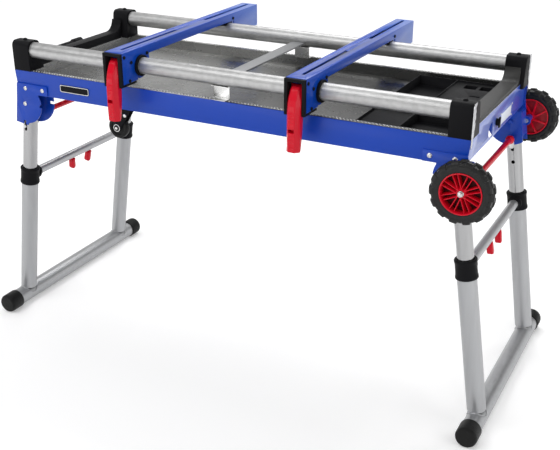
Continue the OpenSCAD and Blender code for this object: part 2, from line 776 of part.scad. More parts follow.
// Tyre with raised lugs round its tread.
module tyre(s) {
    r0 = tyre_r - lug_h;
    lug_w = 3.14159 * tyre_d / lug_n * 0.58;
    color(black) centred() translate([wheel_x, s * wheel_y, wheel_z]) rotate([90, 0, 0]) {
        rotate_extrude($fn = 96) translate([0, 0]) polygon([[rim_r, -tyre_w / 2 + 2], [r0 - 7, -tyre_w / 2],
            [r0, -tyre_w / 2 + 7], [r0, tyre_w / 2 - 7], [r0 - 7, tyre_w / 2], [rim_r, tyre_w / 2 - 2]]);
        for (i = [0 : lug_n - 1]) rotate([0, 0, i * 360 / lug_n]) for (side = [-1, 1])
            rotate([0, 0, side * 90 / lug_n]) translate([r0 - 2, -lug_w / 2, side > 0 ? 2 : -tyre_w / 2 + 4])
                cube([lug_h + 1.6, lug_w, tyre_w / 2 - 6]);
    }
}

// Hub with eight pairs of ribs between the bore's sleeve and the rim.
module hub(s) {
    rib_t = 3;
    rib_gap = 5;
    sleeve = 21;
    rib_h = 24;
    rib_start = 14;
    recess_d = 22;
    web_h = 4;
    translate([wheel_x, s * wheel_y, wheel_z]) rotate([s * 90, 0, 0]) difference() {
        union() {
            difference() {
                cylinder(r = rim_r - 0.02, h = tyre_w - 4, center = true);
                cylinder(r = rim_r - 4, h = tyre_w, center = true);
            }
            translate([0, 0, -web_h / 2]) cylinder(r = rim_r - 2, h = web_h, center = true);
            translate([0, 0, -1.5]) cylinder(r = sleeve, h = tyre_w - 7, center = true);
            for (i = [0 : 7], side = [-1, 1]) rotate([0, 0, i * 45])
                translate([rib_start, side * rib_gap - rib_t / 2, -rib_h / 2])
                    cube([rim_r - 3.2 - rib_start, rib_t, rib_h]);
        }
        cylinder(d = axle_d + 0.1, h = 2 * tyre_w, center = true);
        translate([0, 0, -tyre_w]) cylinder(d = recess_d, h = tyre_w / 2 + 6);
    }
}

module front_tyre() { tyre(-1); }

module rear_tyre() { tyre(1); }

module front_hub() { color(red) centred() hub(-1); }

module rear_hub() { color(red) centred() mirror([0, 1, 0]) hub(-1); }

module caster_wheel(s) {
    color(black) centred() translate([caster_x, s * caster_y, caster_z]) rotate([90, 0, 0]) difference() {
        union() {
            cylinder(d = caster_d, h = caster_w - 6, center = true);
            for (m = [0, 1]) mirror([0, 0, m]) translate([0, 0, caster_w / 2 - 3])
                cylinder(d1 = caster_d, d2 = caster_d - 8, h = 3);
        }
        cylinder(d = pin_hole_d, h = 2 * caster_w, center = true);
        for (m = [0, 1]) mirror([0, 0, m]) translate([0, 0, caster_w / 2 - 3])
            difference() {
                cylinder(d = caster_d - 18, h = 4);
                cylinder(d = 18, h = 4);
            }
    }
}

module caster_wheel_front() { caster_wheel(-1); }

module caster_wheel_rear() { caster_wheel(1); }

// Side outline of a tool arm in Y and Z: deep front end, shallow middle, deep rear end.
module arm_side_2d() {
    rear = tube_y + tube_r + 4;
    low = arm_top - clamp_h + 6;
    difference() {
        union() {
            translate([arm_y0, arm_top - arm_web_h]) square([arm_l, arm_web_h]);
            translate([arm_y0, low]) square([-tube_y - 14 - arm_y0, arm_top - low]);
            translate([-tube_y, tube_z]) circle(r = tube_r + 12);
            translate([-tube_y, tube_z]) square([tube_r + 18, arm_top - tube_z]);
            translate([rear, arm_top - arm_h]) square([arm_y1 - rear, arm_h]);
        }
        translate([-tube_y, tube_z]) circle(r = tube_r + play);
    }
}

// Tool arm: an inverted channel with two long bolt slots, closed at its rear end.
module arm(x) {
    first = arm_y0 + 35 + slot_l / 2;
    second = arm_y1 - 13 - slot_l / 2;
    color(blue) centred() translate([x, 0, 0]) difference() {
        union() {
            for (s = [-1, 1]) plate_yz(s * (arm_w / 2 - arm_t / 2) - arm_t / 2, arm_t) arm_side_2d();
            translate([-arm_w / 2, arm_y0, arm_top - arm_t]) cube([arm_w, arm_l, arm_t]);
            translate([-arm_w / 2, arm_y1 - arm_t, arm_top - arm_h]) cube([arm_w, arm_t, arm_h]);
        }
        for (y = [first, second]) translate([0, y, arm_top]) rotate([0, 0, 90])
            translate([0, 0, -arm_web_h]) linear_extrude(2 * arm_web_h) slot_2d(slot_l, slot_w);
    }
}

// Plastic clamp body in the arm's front end, with tube bushes, a rear saddle and screw heads.
module arm_clamp(x) {
    inner = arm_w / 2 - arm_t - air / 2;
    mouth = lever_w / 2 + 1.5;
    low = arm_top - clamp_h;
    collar = 9;
    depth = 22;
    ring_t = 7;
    saddle_z = tube_z + tube_r - 4;
    fit = tube_r + play;
    color(black) centred() translate([x, 0, 0]) {
        difference() {
            union() {
                translate([-arm_w / 2, arm_y0 - collar, low]) cube([arm_w, collar, clamp_h - 1]);
                translate([-inner, arm_y0 - 1, low]) cube([2 * inner, depth + 1, clamp_h - arm_t - air / 2]);
                for (s = [-1, 1]) translate([s * (arm_w / 2 - 3) - 3, arm_y0 - 1, low])
                    cube([6, -tube_y - 20 - arm_y0, 5]);
            }
            translate([-mouth, arm_y0 - collar - 1, low - 1])
                cube([2 * mouth, collar + depth + 2, clamp_h - arm_t - 4]);
        }
        difference() {
            for (s = [-1, 1]) translate([0, -tube_y, tube_z])
                rod_along_x(tube_d + 12, s > 0 ? arm_w / 2 : -arm_w / 2 - ring_t,
                    s > 0 ? arm_w / 2 + ring_t : -arm_w / 2);
            translate([0, -tube_y, tube_z]) rod_along_x(2 * fit, -arm_w, arm_w);
        }
        difference() {
            translate([-inner, tube_y - 20, saddle_z]) cube([2 * inner, 40, arm_top - arm_t - saddle_z]);
            translate([0, tube_y, tube_z]) rod_along_x(2 * fit, -arm_w, arm_w);
        }
        for (p = [[-70, 35], [-41, 16], [30, 26], [-51, -30], [482, 32]])
            translate([arm_w / 2, -tube_y + p[0], tube_z + p[1]]) rod_along_x(8, 0, 2.5);
        translate([0, lever_y, lever_z]) rod_along_x(pin_d, -inner, inner);
    }
}

// Cam lever: a round cam on the pivot, then an arm that curves out and hangs down.
module lever(x) {
    h = lever_l;
    color(red) centred() translate([x, lever_y, lever_z]) difference() {
        rotate([90, 0, 90]) translate([0, 0, -lever_w / 2]) linear_extrude(lever_w) union() {
            circle(r = 12);
            polygon([[-6, 10], [-22, 2], [-31, -16], [-36, -46], [-37, -h * 0.6], [-lever_reach, -h],
                [-lever_reach + 19, -h - 2], [-18, -h * 0.66], [-17, -48], [-12, -24], [6, -8]]);
        }
        rod_along_x(pin_hole_d, -lever_w, lever_w);
        translate([-9, -lever_reach, -h * 0.6]) cube([18, 5, 5]);
    }
}

module left_arm() { arm(left_arm_x); }

module left_arm_clamp() { arm_clamp(left_arm_x); }

module left_lever() { lever(left_arm_x); }

module right_arm() { arm(right_arm_x); }

module right_arm_clamp() { arm_clamp(right_arm_x); }

module right_lever() { lever(right_arm_x); }

// Pull handle: a grip with two knuckles on arms that hold the sliding rods.
module pull_handle() {
    color(black) centred() {
        translate([grip_x, 0, grip_z]) {
            rod_along_y(grip_d - 6, -grip_l / 2 + 20, grip_l / 2 - 20);
            for (s = [-1, 1]) translate([0, s * (grip_l / 2 - 20), 0])
                rod_along_y(grip_d, -18, 18);
        }
        for (s = [-1, 1]) translate([grip_x - 8, s * rod_y - 9, rod_z - 10])
            difference() {
                cube([16, 18, grip_z - rod_z + 10]);
                translate([0, 9, 10]) rod_along_x(rod_d, 3, 17);
            }
    }
}

// Two steel rods that carry the handle and slide in the guides below the tray.
module handle_rods() {
    color(silver) centred() for (s = [-1, 1]) translate([0, s * rod_y, rod_z])
        rod_along_x(rod_d, grip_x - 5, grip_x + rod_l);
}

// Turning latch on the right end rail.
module end_latch() {
    back = -sheet - play;
    color(black) centred() translate([end_web_x + sheet, latch_y, latch_z]) {
        rod_along_x(18, play, 6);
        translate([6, -4, -13]) cube([3.5, 8, 26]);
        rod_along_x(pin_d, back - 4, play);
        rod_along_x(pin_d + 6, back - 4, back);
    }
}

side_rail_front();
side_rail_rear();
end_rail_left();
end_rail_right();
cross_member();
steel_tray();
organiser_tray();
front_tube();
rear_tube();
cap_front_left();
cap_front_right();
cap_rear_left();
cap_rear_right();
end_beam_left();
end_beam_right();
end_plate_right();
cap_screws();
tie_bar();
tube_clips();
name_plate();
frame_rivets();
leg_pivot_pins();
bracket_front_left();
bracket_rear_left();
bracket_front_right();
bracket_rear_right();
wheel_axles();
caster_hangers();
handle_guides();
left_inner_tubes();
left_foot_frame();
left_collars();
left_crossbar();
left_foot_caps();
left_lock_bar();
left_trigger_front();
left_trigger_rear();
right_inner_tubes();
right_foot_frame();
right_collars();
right_crossbar();
right_foot_caps();
right_lock_bar();
right_trigger_front();
right_trigger_rear();
front_tyre();
front_hub();
rear_tyre();
rear_hub();
caster_wheel_front();
caster_wheel_rear();
left_arm();
left_arm_clamp();
left_lever();
right_arm();
right_arm_clamp();
right_lever();
pull_handle();
handle_rods();
end_latch();
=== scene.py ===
"""Looks of the folding rolling workbench: finishes for its steel, tubes and plastics, and detailed
pieces over the solids of its frame."""
import json
import math
import bmesh
import bpy
import numpy as np
from mathutils import Matrix


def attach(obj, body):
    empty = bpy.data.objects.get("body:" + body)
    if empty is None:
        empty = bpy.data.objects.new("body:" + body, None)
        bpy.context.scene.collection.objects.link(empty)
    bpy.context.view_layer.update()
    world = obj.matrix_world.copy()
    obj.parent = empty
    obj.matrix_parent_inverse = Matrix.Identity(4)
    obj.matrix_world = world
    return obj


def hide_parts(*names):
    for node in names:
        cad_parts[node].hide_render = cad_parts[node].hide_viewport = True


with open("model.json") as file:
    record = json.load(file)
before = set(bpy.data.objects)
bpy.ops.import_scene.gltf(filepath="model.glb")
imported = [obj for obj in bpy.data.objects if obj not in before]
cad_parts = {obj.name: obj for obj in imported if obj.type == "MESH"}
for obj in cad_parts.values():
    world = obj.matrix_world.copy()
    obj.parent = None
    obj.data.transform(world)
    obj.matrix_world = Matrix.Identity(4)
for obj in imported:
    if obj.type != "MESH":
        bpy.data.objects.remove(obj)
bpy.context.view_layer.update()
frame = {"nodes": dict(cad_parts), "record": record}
nodes = frame["nodes"]

# The bench's own sizes, in metres. Pieces are drawn about its middle plane, which lies MID in front
# of the frame's, and piece() moves them there.
MID = 0.0335
RAIL_TOP = 0.75604                        # top of the side rails, under the tray's lip
TUBE_Y, TUBE_Z = 0.231, 0.81204           # long tubes
ARMS = {"left": -0.270, "right": 0.248}   # middle of each tool arm along X
ARM_HALF = 0.027                          # half of an arm's width
LEVER_Y, LEVER_Z = 0.066, 0.018           # cam lever's pivot, in front of the tube and above it
PIVOT = (0.629, 0.66162)                  # leg pivots, x and z
PLATE_Y = 0.259                           # outer face of the leg brackets
WHEEL = (0.660, 0.312, 0.65462)           # middle of the rear transport wheel
CASTER = (-0.35504, 0.1938, 0.61562)      # middle of the rear caster

# A leg is drawn straight down from its pivot, and its heights count from there.
LEAN = math.radians(8.7)
LEG_Y = 0.2349                            # leg tubes
CHEEK_Y = 0.2108                          # inner face of the leg brackets
SLEEVE_Z, PIN_Z = -0.046, -0.070          # fold lock: red sleeve and steel pins
BAR_Z = -0.230                            # crossbar and collars
FOOT_Z, FOOT_R = -0.641, 0.025            # foot tube

FRONT_REAR = (("front", -1), ("rear", 1))
LEFT_RIGHT = (("left", -1), ("right", 1))
CORNERS = [(end, side) for end in (-1, 1) for side in (-1, 1)]


# Mesh helpers: a part is (points, faces), and piece() makes an object of several parts.

def quad_grid(rows, cols, ring_rows, ring_cols):
    """Faces of a grid of points: cell (i, j) joins point (i, j) to its next neighbours, and wraps
    round where a ring closes."""
    i = np.arange(rows if ring_rows else rows - 1)
    j = np.arange(cols if ring_cols else cols - 1)
    i, j = np.meshgrid(i, j, indexing="ij")
    a, b = i % rows, (i + 1) % rows
    c, d = j % cols, (j + 1) % cols
    return np.stack([a * cols + c, b * cols + c, b * cols + d, a * cols + d], -1).reshape(-1, 4)


def lidded(rows, cols):
    """Faces of a stack of closed loops, with a lid on the first loop and on the last."""
    lids = [list(range(cols)), list(range(cols * (rows - 1), cols * rows))]
    return quad_grid(rows, cols, False, True).tolist() + lids


def into_scene(name, data):
    """Object at the origin with the given data, linked into the scene."""
    ob = bpy.data.objects.new(name, data)
    bpy.context.scene.collection.objects.link(ob)
    return ob


def piece(name, parts, material, body, stands_for=(), sharp=35):
    """One object from parts = [(points, faces), ...], moved forward by MID: equal points are
    merged, and faces are turned outwards and look smooth up to the sharp angle."""
    points, faces, start = [], [], 0
    for part_points, part_faces in parts:
        part_points = np.asarray(part_points, float).reshape(-1, 3)
        points.append(part_points)
        faces += [(np.asarray(face) + start).tolist() for face in part_faces]
        start += len(part_points)
    points = np.concatenate(points)
    points[:, 1] -= MID
    mesh = bpy.data.meshes.new(name)
    mesh.from_pydata(points.tolist(), [], faces)
    bm = bmesh.new()
    bm.from_mesh(mesh)
    bmesh.ops.remove_doubles(bm, verts=bm.verts, dist=1e-6)
    bmesh.ops.recalc_face_normals(bm, faces=bm.faces)
    bm.to_mesh(mesh)
    bm.free()
    mesh.polygons.foreach_set("use_smooth", np.ones(len(mesh.polygons), bool))
    mesh.set_sharp_from_angle(angle=math.radians(sharp))
    mesh.materials.append(material)
    ob = into_scene(name, mesh)
    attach(ob, body)
    if stands_for:
        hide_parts(*stands_for)


def turned(profile, centre, axis="y", steps=64, ring=False):
    """Surface of revolution: point (i, j) is the profile's point j = (t, r) turned by the angle
    2 pi i / steps about the axis through centre. An open profile is closed at both ends on the
    axis; ring joins its last point to its first."""
    profile = np.asarray(profile, float)
    if not ring:
        profile = np.concatenate([[[profile[0, 0], 0]], profile, [[profile[-1, 0], 0]]])
    a = np.arange(steps) * 2 * np.pi / steps
    t = np.broadcast_to(profile[:, 0], (steps, len(profile)))
    u = np.cos(a)[:, None] * profile[:, 1]
    v = np.sin(a)[:, None] * profile[:, 1]
    order = {"x": (t, u, v), "y": (v, t, u), "z": (u, v, t)}[axis]
    points = np.stack(order, -1) + np.asarray(centre, float)
    return points.reshape(-1, 3), quad_grid(steps, len(profile), True, ring)


def on_leg(part, side):
    """A part drawn straight down from the leg pivot, turned about it by LEAN, and mirrored for the
    left leg."""
    p = np.asarray(part[0], float).reshape(-1, 3).copy()
    x, z = p[:, 0].copy(), p[:, 2].copy()
    p[:, 0] = side * (PIVOT[0] + x * math.cos(LEAN) - z * math.sin(LEAN))
    p[:, 2] = PIVOT[1] + x * math.sin(LEAN) + z * math.cos(LEAN)
    return p, part[1]


def arc(cx, cy, r, a0, a1, n=8):
    """Points on a circle about (cx, cy) from angle a0 to a1, in degrees."""
    a = np.radians(np.linspace(a0, a1, n))
    return np.stack([cx + r * np.cos(a), cy + r * np.sin(a)], -1)


def rounded(low, high, r, n=5):
    """Rectangle between two corners, with a quarter circle of radius r at each."""
    x0, y0, x1, y1 = low[0] + r, low[1] + r, high[0] - r, high[1] - r
    return np.concatenate([arc(x1, y1, r, 0, 90, n), arc(x0, y1, r, 90, 180, n),
                           arc(x0, y0, r, 180, 270, n), arc(x1, y0, r, 270, 360, n)])


def clipped(cx, cy, w, h, cut):
    """Rectangle w by h about (cx, cy), with a triangle of side cut taken off each corner."""
    x, y = w / 2, h / 2
    return np.array([[x, y - cut], [x - cut, y], [cut - x, y], [-x, y - cut], [-x, cut - y],
                     [cut - x, -y], [x - cut, -y], [x, cut - y]]) + [cx, cy]


def laid(outline, t, plane):
    """Loop of points: an outline drawn in the two axes that plane names, at the level t of the
    third."""
    a, b = outline[:, 0], outline[:, 1]
    t = np.full(len(outline), t)
    return np.stack({"xz": (a, t, b), "yz": (t, a, b), "xy": (a, b, t)}[plane], -1)


def slab(outline, low, high, edge, plane="xz", rounds=3):
    """Plate: the outline's loop repeated through the thickness. For q from 0 to a quarter turn a
    loop at the depth edge * (1 - cos q) is drawn inwards by edge * (1 - sin q), along the mean
    normal of its two neighbouring sides, which rounds both rims."""
    o = np.asarray(outline, float)
    if np.sum(o[:, 0] * np.roll(o[:, 1], -1) - np.roll(o[:, 0], -1) * o[:, 1]) < 0:
        o = o[::-1]
    along = np.roll(o, -1, 0) - o
    length = np.maximum(np.linalg.norm(along, axis=1), 1e-9)
    normal = np.stack([along[:, 1], -along[:, 0]], -1) / length[:, None]
    mean = normal + np.roll(normal, 1, 0)
    mean /= np.maximum(np.sum(mean * normal, 1), 0.3)[:, None]
    q = np.linspace(0, np.pi / 2, rounds + 1)
    inset = edge * (1 - np.sin(q))
    depth = edge * (1 - np.cos(q))
    rows = [(i, low + d) for i, d in zip(inset, depth)]
    rows += [(i, high - d) for i, d in zip(inset[::-1], depth[::-1])]
    loops = [laid(o - mean * i, t, plane) for i, t in rows]
    return np.concatenate(loops), lidded(len(rows), len(o))


def block(low, high, edge=0.001):
    """Box with rounded rims between two corners, made as a slab of its rounded plan."""
    r = min(edge, (high[0] - low[0]) / 2.01, (high[1] - low[1]) / 2.01)
    return slab(rounded(low, high, r), low[2], high[2], r * 0.9, "xy")


def border(outer, inner, low, high, plane):
    """Closed frame: four loops, outer low, outer high, inner high and inner low, joined in a
    ring."""
    loops = [laid(o, t, plane)
             for o, t in ((outer, low), (outer, high), (inner, high), (inner, low))]
    return np.concatenate(loops), quad_grid(4, len(outer), True, True)


# Finishes

def srgb(r, g, b):
    """Linear colour of an eight-bit display colour."""
    c = np.array([r, g, b]) / 255
    c = np.where(c <= 0.04045, c / 12.92, ((c + 0.055) / 1.055) ** 2.4)
    return (float(c[0]), float(c[1]), float(c[2]), 1.0)


def feed(tree, target, inputs):
    """Fills a node's inputs by name or number: a socket is linked to it, a value is written."""
    for key, value in inputs.items():
        if isinstance(value, bpy.types.NodeSocket):
            tree.links.new(value, target.inputs[key])
        else:
            target.inputs[key].default_value = value


def node(tree, kind, inputs=None, **settings):
    """New shader node of a kind: its settings first, because they decide its sockets, then its
    inputs."""
    new = tree.nodes.new("ShaderNode" + kind)
    for key, value in settings.items():
        setattr(new, key, value)
    feed(tree, new, inputs or {})
    return new


def mixed(tree, share, a, b, **settings):
    """Colour mixed from a to b by share."""
    inputs = {"Factor": share, "A": a, "B": b}
    return node(tree, "Mix", inputs, data_type="RGBA", **settings).outputs["Result"]


def group(name, inputs, outputs):
    """Empty shader group with number inputs {name: default} and number outputs (names); gives the
    tree, the inputs' sockets and its output node."""
    tree = bpy.data.node_groups.new(name, "ShaderNodeTree")
    for key, value in inputs.items():
        socket = tree.interface.new_socket(name=key, in_out="INPUT", socket_type="NodeSocketFloat")
        socket.default_value = value
    for key in outputs:
        tree.interface.new_socket(name=key, in_out="OUTPUT", socket_type="NodeSocketFloat")
    return tree, tree.nodes.new("NodeGroupInput").outputs, tree.nodes.new("NodeGroupOutput")


def grain_group():
    """Fine grain: two noises of the object's own place, one fine and one four times coarser, added
    as a height, and a slow noise as a mask for uneven colour and gloss."""
    tree, given, out = group("moulded_grain", {"Scale": 900}, ("Height", "Mottle"))
    place = node(tree, "TexCoord").outputs["Object"]
    quarter = node(tree, "Math", {0: given["Scale"], 1: 0.25}, operation="MULTIPLY").outputs[0]
    fine, coarse = (node(tree, "TexNoise", {"Vector": place, "Scale": scale}).outputs["Fac"]
                    for scale in (given["Scale"], quarter))
    slow = node(tree, "TexNoise", {"Vector": place, "Scale": 14, "Detail": 5}).outputs["Fac"]
    total = node(tree, "Math", {0: fine, 1: coarse}, operation="ADD").outputs[0]
    feed(tree, out, {"Height": total, "Mottle": slow})
    return tree


ALONG = ("Along X", "Along Y", "Along Z")


def drawn_group():
    """Drawing lines of a tube: noise of the object's place times a number for each axis, which
    stretches it along the axis with the smallest, and broad bands from 0.12 of that place."""
    tree, given, out = group("drawn_lines", dict(zip(ALONG, (3, 500, 500))), ("Lines", "Bands"))
    place = node(tree, "TexCoord").outputs["Object"]
    size = node(tree, "CombineXYZ", {k: given[n] for k, n in enumerate(ALONG)}).outputs[0]
    fine = node(tree, "VectorMath", {0: place, 1: size}, operation="MULTIPLY").outputs[0]
    broad = node(tree, "VectorMath", {0: fine, "Scale": 0.12}, operation="SCALE").outputs[0]
    for source, name, detail in ((fine, "Lines", 3), (broad, "Bands", 6)):
        noise = node(tree, "TexNoise", {"Vector": source, "Scale": 1, "Detail": detail})
        feed(tree, out, {name: noise.outputs["Fac"]})
    return tree


def scuff_group():
    """Scuffs and dust: the mean of a rough fine noise and a slow one, stepped up smoothly from
    Cover to 0.72, as a mask."""
    tree, given, out = group("scuffs", {"Scale": 60, "Cover": 0.62}, ("Mask",))
    place = node(tree, "TexCoord").outputs["Object"]
    fine = node(tree, "TexNoise", {"Vector": place, "Scale": given["Scale"], "Detail": 8,
                                   "Roughness": 0.7}).outputs["Fac"]
    slow = node(tree, "TexNoise", {"Vector": place, "Scale": 7}).outputs["Fac"]
    both = node(tree, "Math", {0: fine, 1: slow}, operation="ADD").outputs[0]
    mean = node(tree, "Math", {0: both, 1: 0.5}, operation="MULTIPLY").outputs[0]
    step = node(tree, "MapRange", {"Value": mean, "From Min": given["Cover"], "From Max": 0.72},
                interpolation_type="SMOOTHSTEP")
    feed(tree, out, {"Mask": step.outputs[0]})
    return tree


GRAIN, DRAWN, SCUFFS = grain_group(), drawn_group(), scuff_group()


def finish(name, colour, rough, metallic=0.0, coat=0.0, grain=900, bump=0.05, shade=0.12,
           scuff=0.0, scuff_colour=None, drawn=None, specular=0.5):
    """A finish: the slow mottle takes the colour from 1 - shade to 1 + 0.6 * shade times its own
    and the roughness from 0.07 below to 0.07 above, scuffs of another colour lie over it, and the
    grain is a bump; drawn = scale along X, Y and Z puts a tube's lines in the grain's place."""
    material = bpy.data.materials.new(name)
    material.use_nodes = True
    tree = material.node_tree
    if drawn:
        effect = node(tree, "Group", dict(zip(ALONG, drawn)), node_tree=DRAWN)
        mask, height = effect.outputs["Bands"], effect.outputs["Lines"]
    else:
        effect = node(tree, "Group", {"Scale": grain}, node_tree=GRAIN)
        mask, height = effect.outputs["Mottle"], effect.outputs["Height"]
    dark = [c * (1 - shade) for c in colour[:3]]
    pale = [min(1, c * (1 + shade * 0.6)) for c in colour[:3]]
    coloured = mixed(tree, mask, (*dark, 1), (*pale, 1))
    gloss = node(tree, "MapRange", {"Value": mask, "To Min": max(0.02, rough - 0.07),
                                    "To Max": min(1, rough + 0.07)})
    if scuff:
        worn = node(tree, "Group", {"Cover": 1 - scuff}, node_tree=SCUFFS)
        coloured = mixed(tree, worn.outputs["Mask"], coloured, scuff_colour)
    bumped = node(tree, "Bump", {"Strength": bump, "Distance": 0.001, "Height": height})
    feed(tree, tree.nodes["Principled BSDF"],
         {"Metallic": metallic, "Coat Weight": coat, "Coat Roughness": 0.08,
          "Specular IOR Level": specular, "Base Color": coloured, "Roughness": gloss.outputs[0],
          "Normal": bumped.outputs[0]})
    return material


def paint_light_along(material, axis, near, far, pale, share=0.75):
    """Painted light and shade: mixes a colour into the finish by share * (1 - smooth step) of the
    object's own axis from near to far."""
    tree = material.node_tree
    shader = tree.nodes["Principled BSDF"]
    place = node(tree, "SeparateXYZ", {0: node(tree, "TexCoord").outputs["Object"]})
    step = node(tree, "MapRange", {"Value": place.outputs[axis], "From Min": near,
                                   "From Max": far, "To Min": share, "To Max": 0.0},
                interpolation_type="SMOOTHSTEP")
    plain = shader.inputs["Base Color"].links[0].from_socket
    feed(tree, shader, {"Base Color": mixed(tree, step.outputs[0], plain, pale)})


blue = finish("blue_powder_coat", srgb(6, 62, 172), 0.34, coat=0.08, grain=1400, bump=0.06,
              shade=0.08, scuff=0.3, scuff_colour=srgb(30, 84, 188), specular=0.25)
# The arms' blue coat, with a painted sheen that makes their far part paler (below).
arm_blue_with_sheen = finish("blue_coat_of_the_arms_with_painted_sheen", srgb(4, 66, 172), 0.32, coat=0.12, grain=1400,
                  bump=0.06, shade=0.1, scuff=0.3, scuff_colour=srgb(34, 92, 186), specular=0.25)
# Painted light: a paler copy of the blue coat for the right end rail, with paler scuffs, and a
# painted sheen over its near part (below).
painted_lit_end_blue = finish("blue_coat_painted_lit_at_the_end", srgb(40, 78, 186), 0.3, coat=0.3, grain=1400, bump=0.06,
                  shade=0.08, scuff=0.36, scuff_colour=srgb(110, 136, 214), specular=0.5)
# The tray's coat, with painted shade that makes its right part darker (below); its scuffs are wear.
grey_tray_shaded = finish("dark_grey_tray_coat_with_painted_shade", srgb(132, 132, 131), 0.27, metallic=0.85, grain=700,
                   bump=0.02, shade=0.12, scuff=0.1, scuff_colour=srgb(160, 160, 158))
black = finish("black_moulding", srgb(4, 4, 5), 0.44, grain=1600, bump=0.15, shade=0.2,
               scuff=0.2, scuff_colour=srgb(24, 24, 26), specular=0.05)
beam_grey = finish("grey_moulding", srgb(40, 40, 39), 0.42, grain=1500, bump=0.25, shade=0.15,
                   specular=0.4)
red = finish("red_moulding", srgb(198, 0, 26), 0.22, coat=0.1, grain=1600, bump=0.05, shade=0.12,
             scuff=0.26, scuff_colour=srgb(206, 14, 38), specular=0.16)
# Dark red for the hub's web between the ribs: painted shade in the recess.
painted_shade_red = finish("red_web_painted_shade", srgb(70, 4, 10), 0.55, grain=1600, bump=0.05, shade=0.3,
                  specular=0.2)
# Darker red with strong mottle for the hub's inner disc: painted shade.
painted_shade_mid_red = finish("red_back_painted_shade", srgb(150, 6, 22), 0.45, grain=1600, bump=0.05, shade=0.4,
                 specular=0.3)
bright_x = finish("bright_drawn_tube", srgb(180, 180, 180), 0.42, metallic=0.95, bump=0.5,
                  shade=0.34, drawn=(480, 560, 560))
bright_z = finish("bright_leg_tube", srgb(168, 168, 169), 0.2, metallic=1, bump=0.12, shade=0.16,
                  drawn=(700, 700, 5))
satin_z = finish("satin_leg_tube", srgb(170, 171, 173), 0.36, metallic=0.75, bump=0.2, shade=0.16,
                 drawn=(500, 500, 9))
satin_y = finish("satin_cross_tube", srgb(176, 177, 179), 0.36, metallic=0.75, bump=0.2,
                 shade=0.16, drawn=(500, 9, 500))
tie_bar_grey = finish("tie_bar_plate", srgb(138, 139, 141), 0.42, metallic=0.6, bump=0.15,
                      shade=0.16, drawn=(500, 9, 500))
zinc = finish("zinc_plate", srgb(205, 205, 204), 0.28, metallic=1, grain=1200, bump=0.08,
              shade=0.12)
pale_plate = finish("pale_end_plate", srgb(200, 201, 204), 0.26, metallic=0.9, grain=150,
                    bump=1.0, shade=0.5)
white_label = finish("white_label_enamel", srgb(226, 232, 242), 0.35, grain=1500, bump=0.03,
                     shade=0.03, specular=0.4)
rubber = finish("black_rubber", srgb(7, 7, 7), 0.5, grain=1100, bump=0.4, shade=0.25, scuff=0.3,
                scuff_colour=srgb(40, 40, 40), specular=0.22)
tyre_black = finish("tyre_rubber", srgb(4, 4, 5), 0.24, grain=1000, bump=0.25, shade=0.2,
                    scuff=0.22, scuff_colour=srgb(30, 30, 30), specular=0.22)

# Painted sheen makes the near part of the right end and the far part of the arms paler, and painted
#  shade makes the tray's right part darker.
paint_light_along(painted_lit_end_blue, "Y", -0.30, 0.16, srgb(138, 154, 214))
paint_light_along(arm_blue_with_sheen, "Y", 0.42, 0.08, srgb(84, 120, 196), 0.7)
paint_light_along(grey_tray_shaded, "X", 0.06, -0.18, srgb(26, 26, 27), 0.7)

# A finish for each material slot of the record, and for the nodes that have one of their own
BY_SLOT = {"blue_paint": blue, "dark_grey_paint": grey_tray_shaded, "black_plastic": black,
           "grey_plastic": beam_grey, "red_plastic": red, "bright_tube": bright_x,
           "satin_tube": satin_z, "steel": zinc, "black_rubber": rubber, "tyre_rubber": tyre_black}
BY_NODE = {"left_inner_tubes": bright_z, "right_inner_tubes": bright_z, "left_crossbar": satin_y,
           "right_crossbar": satin_y, "tie_bar": tie_bar_grey, "end_rail_right": painted_lit_end_blue,
           "left_arm": arm_blue_with_sheen, "right_arm": arm_blue_with_sheen}
for sub in frame["record"]["subparts"]:
    own = nodes[sub["node"]].data.materials
    own.clear()
    own.append(BY_NODE.get(sub["node"], BY_SLOT[sub["material_slot"]]))

# The frame's own nodes whose edges are rounded, by the width in metres
EDGES = {
    0.0008: ["side_rail_front", "side_rail_rear", "end_rail_left", "end_rail_right", "left_arm",
             "right_arm", "bracket_front_left", "bracket_rear_left", "bracket_front_right",
             "bracket_rear_right", "steel_tray", "cross_member"],
    0.0003: ["tie_bar", "tube_clips", "handle_guides"],
    0.0012: ["organiser_tray", "end_beam_left", "end_beam_right", "end_latch", "left_arm_clamp",
             "right_arm_clamp"],
    0.0022: ["cap_front_left", "cap_front_right", "cap_rear_left", "cap_rear_right"],
}


def soften(ob, width):
    """Welds the node's loose triangles and rounds its edges of more than 30 degrees."""
    ob.data.polygons.foreach_set("use_smooth", np.ones(len(ob.data.polygons), bool))
    weld = ob.modifiers.new("weld", "WELD")
    weld.merge_threshold = 1e-5
    bevel = ob.modifiers.new("edges", "BEVEL")
    bevel.width = width
    bevel.segments = 2
    bevel.limit_method = "ANGLE"
    bevel.angle_limit = math.radians(30)
    bevel.harden_normals = True
    bevel.use_clamp_overlap = True


for width, names in EDGES.items():
    for name in names:
        soften(nodes[name], width)


# Transport wheels

RIM_R = 46.6                              # where ribs and discs meet the hub's rim, in mm


def step_up(x, middle, slope):
    """Smooth step from 0 to 1: 1 / (1 + exp(-slope * (x - middle)))."""
    return 1 / (1 + np.exp(-(x - middle) * slope))


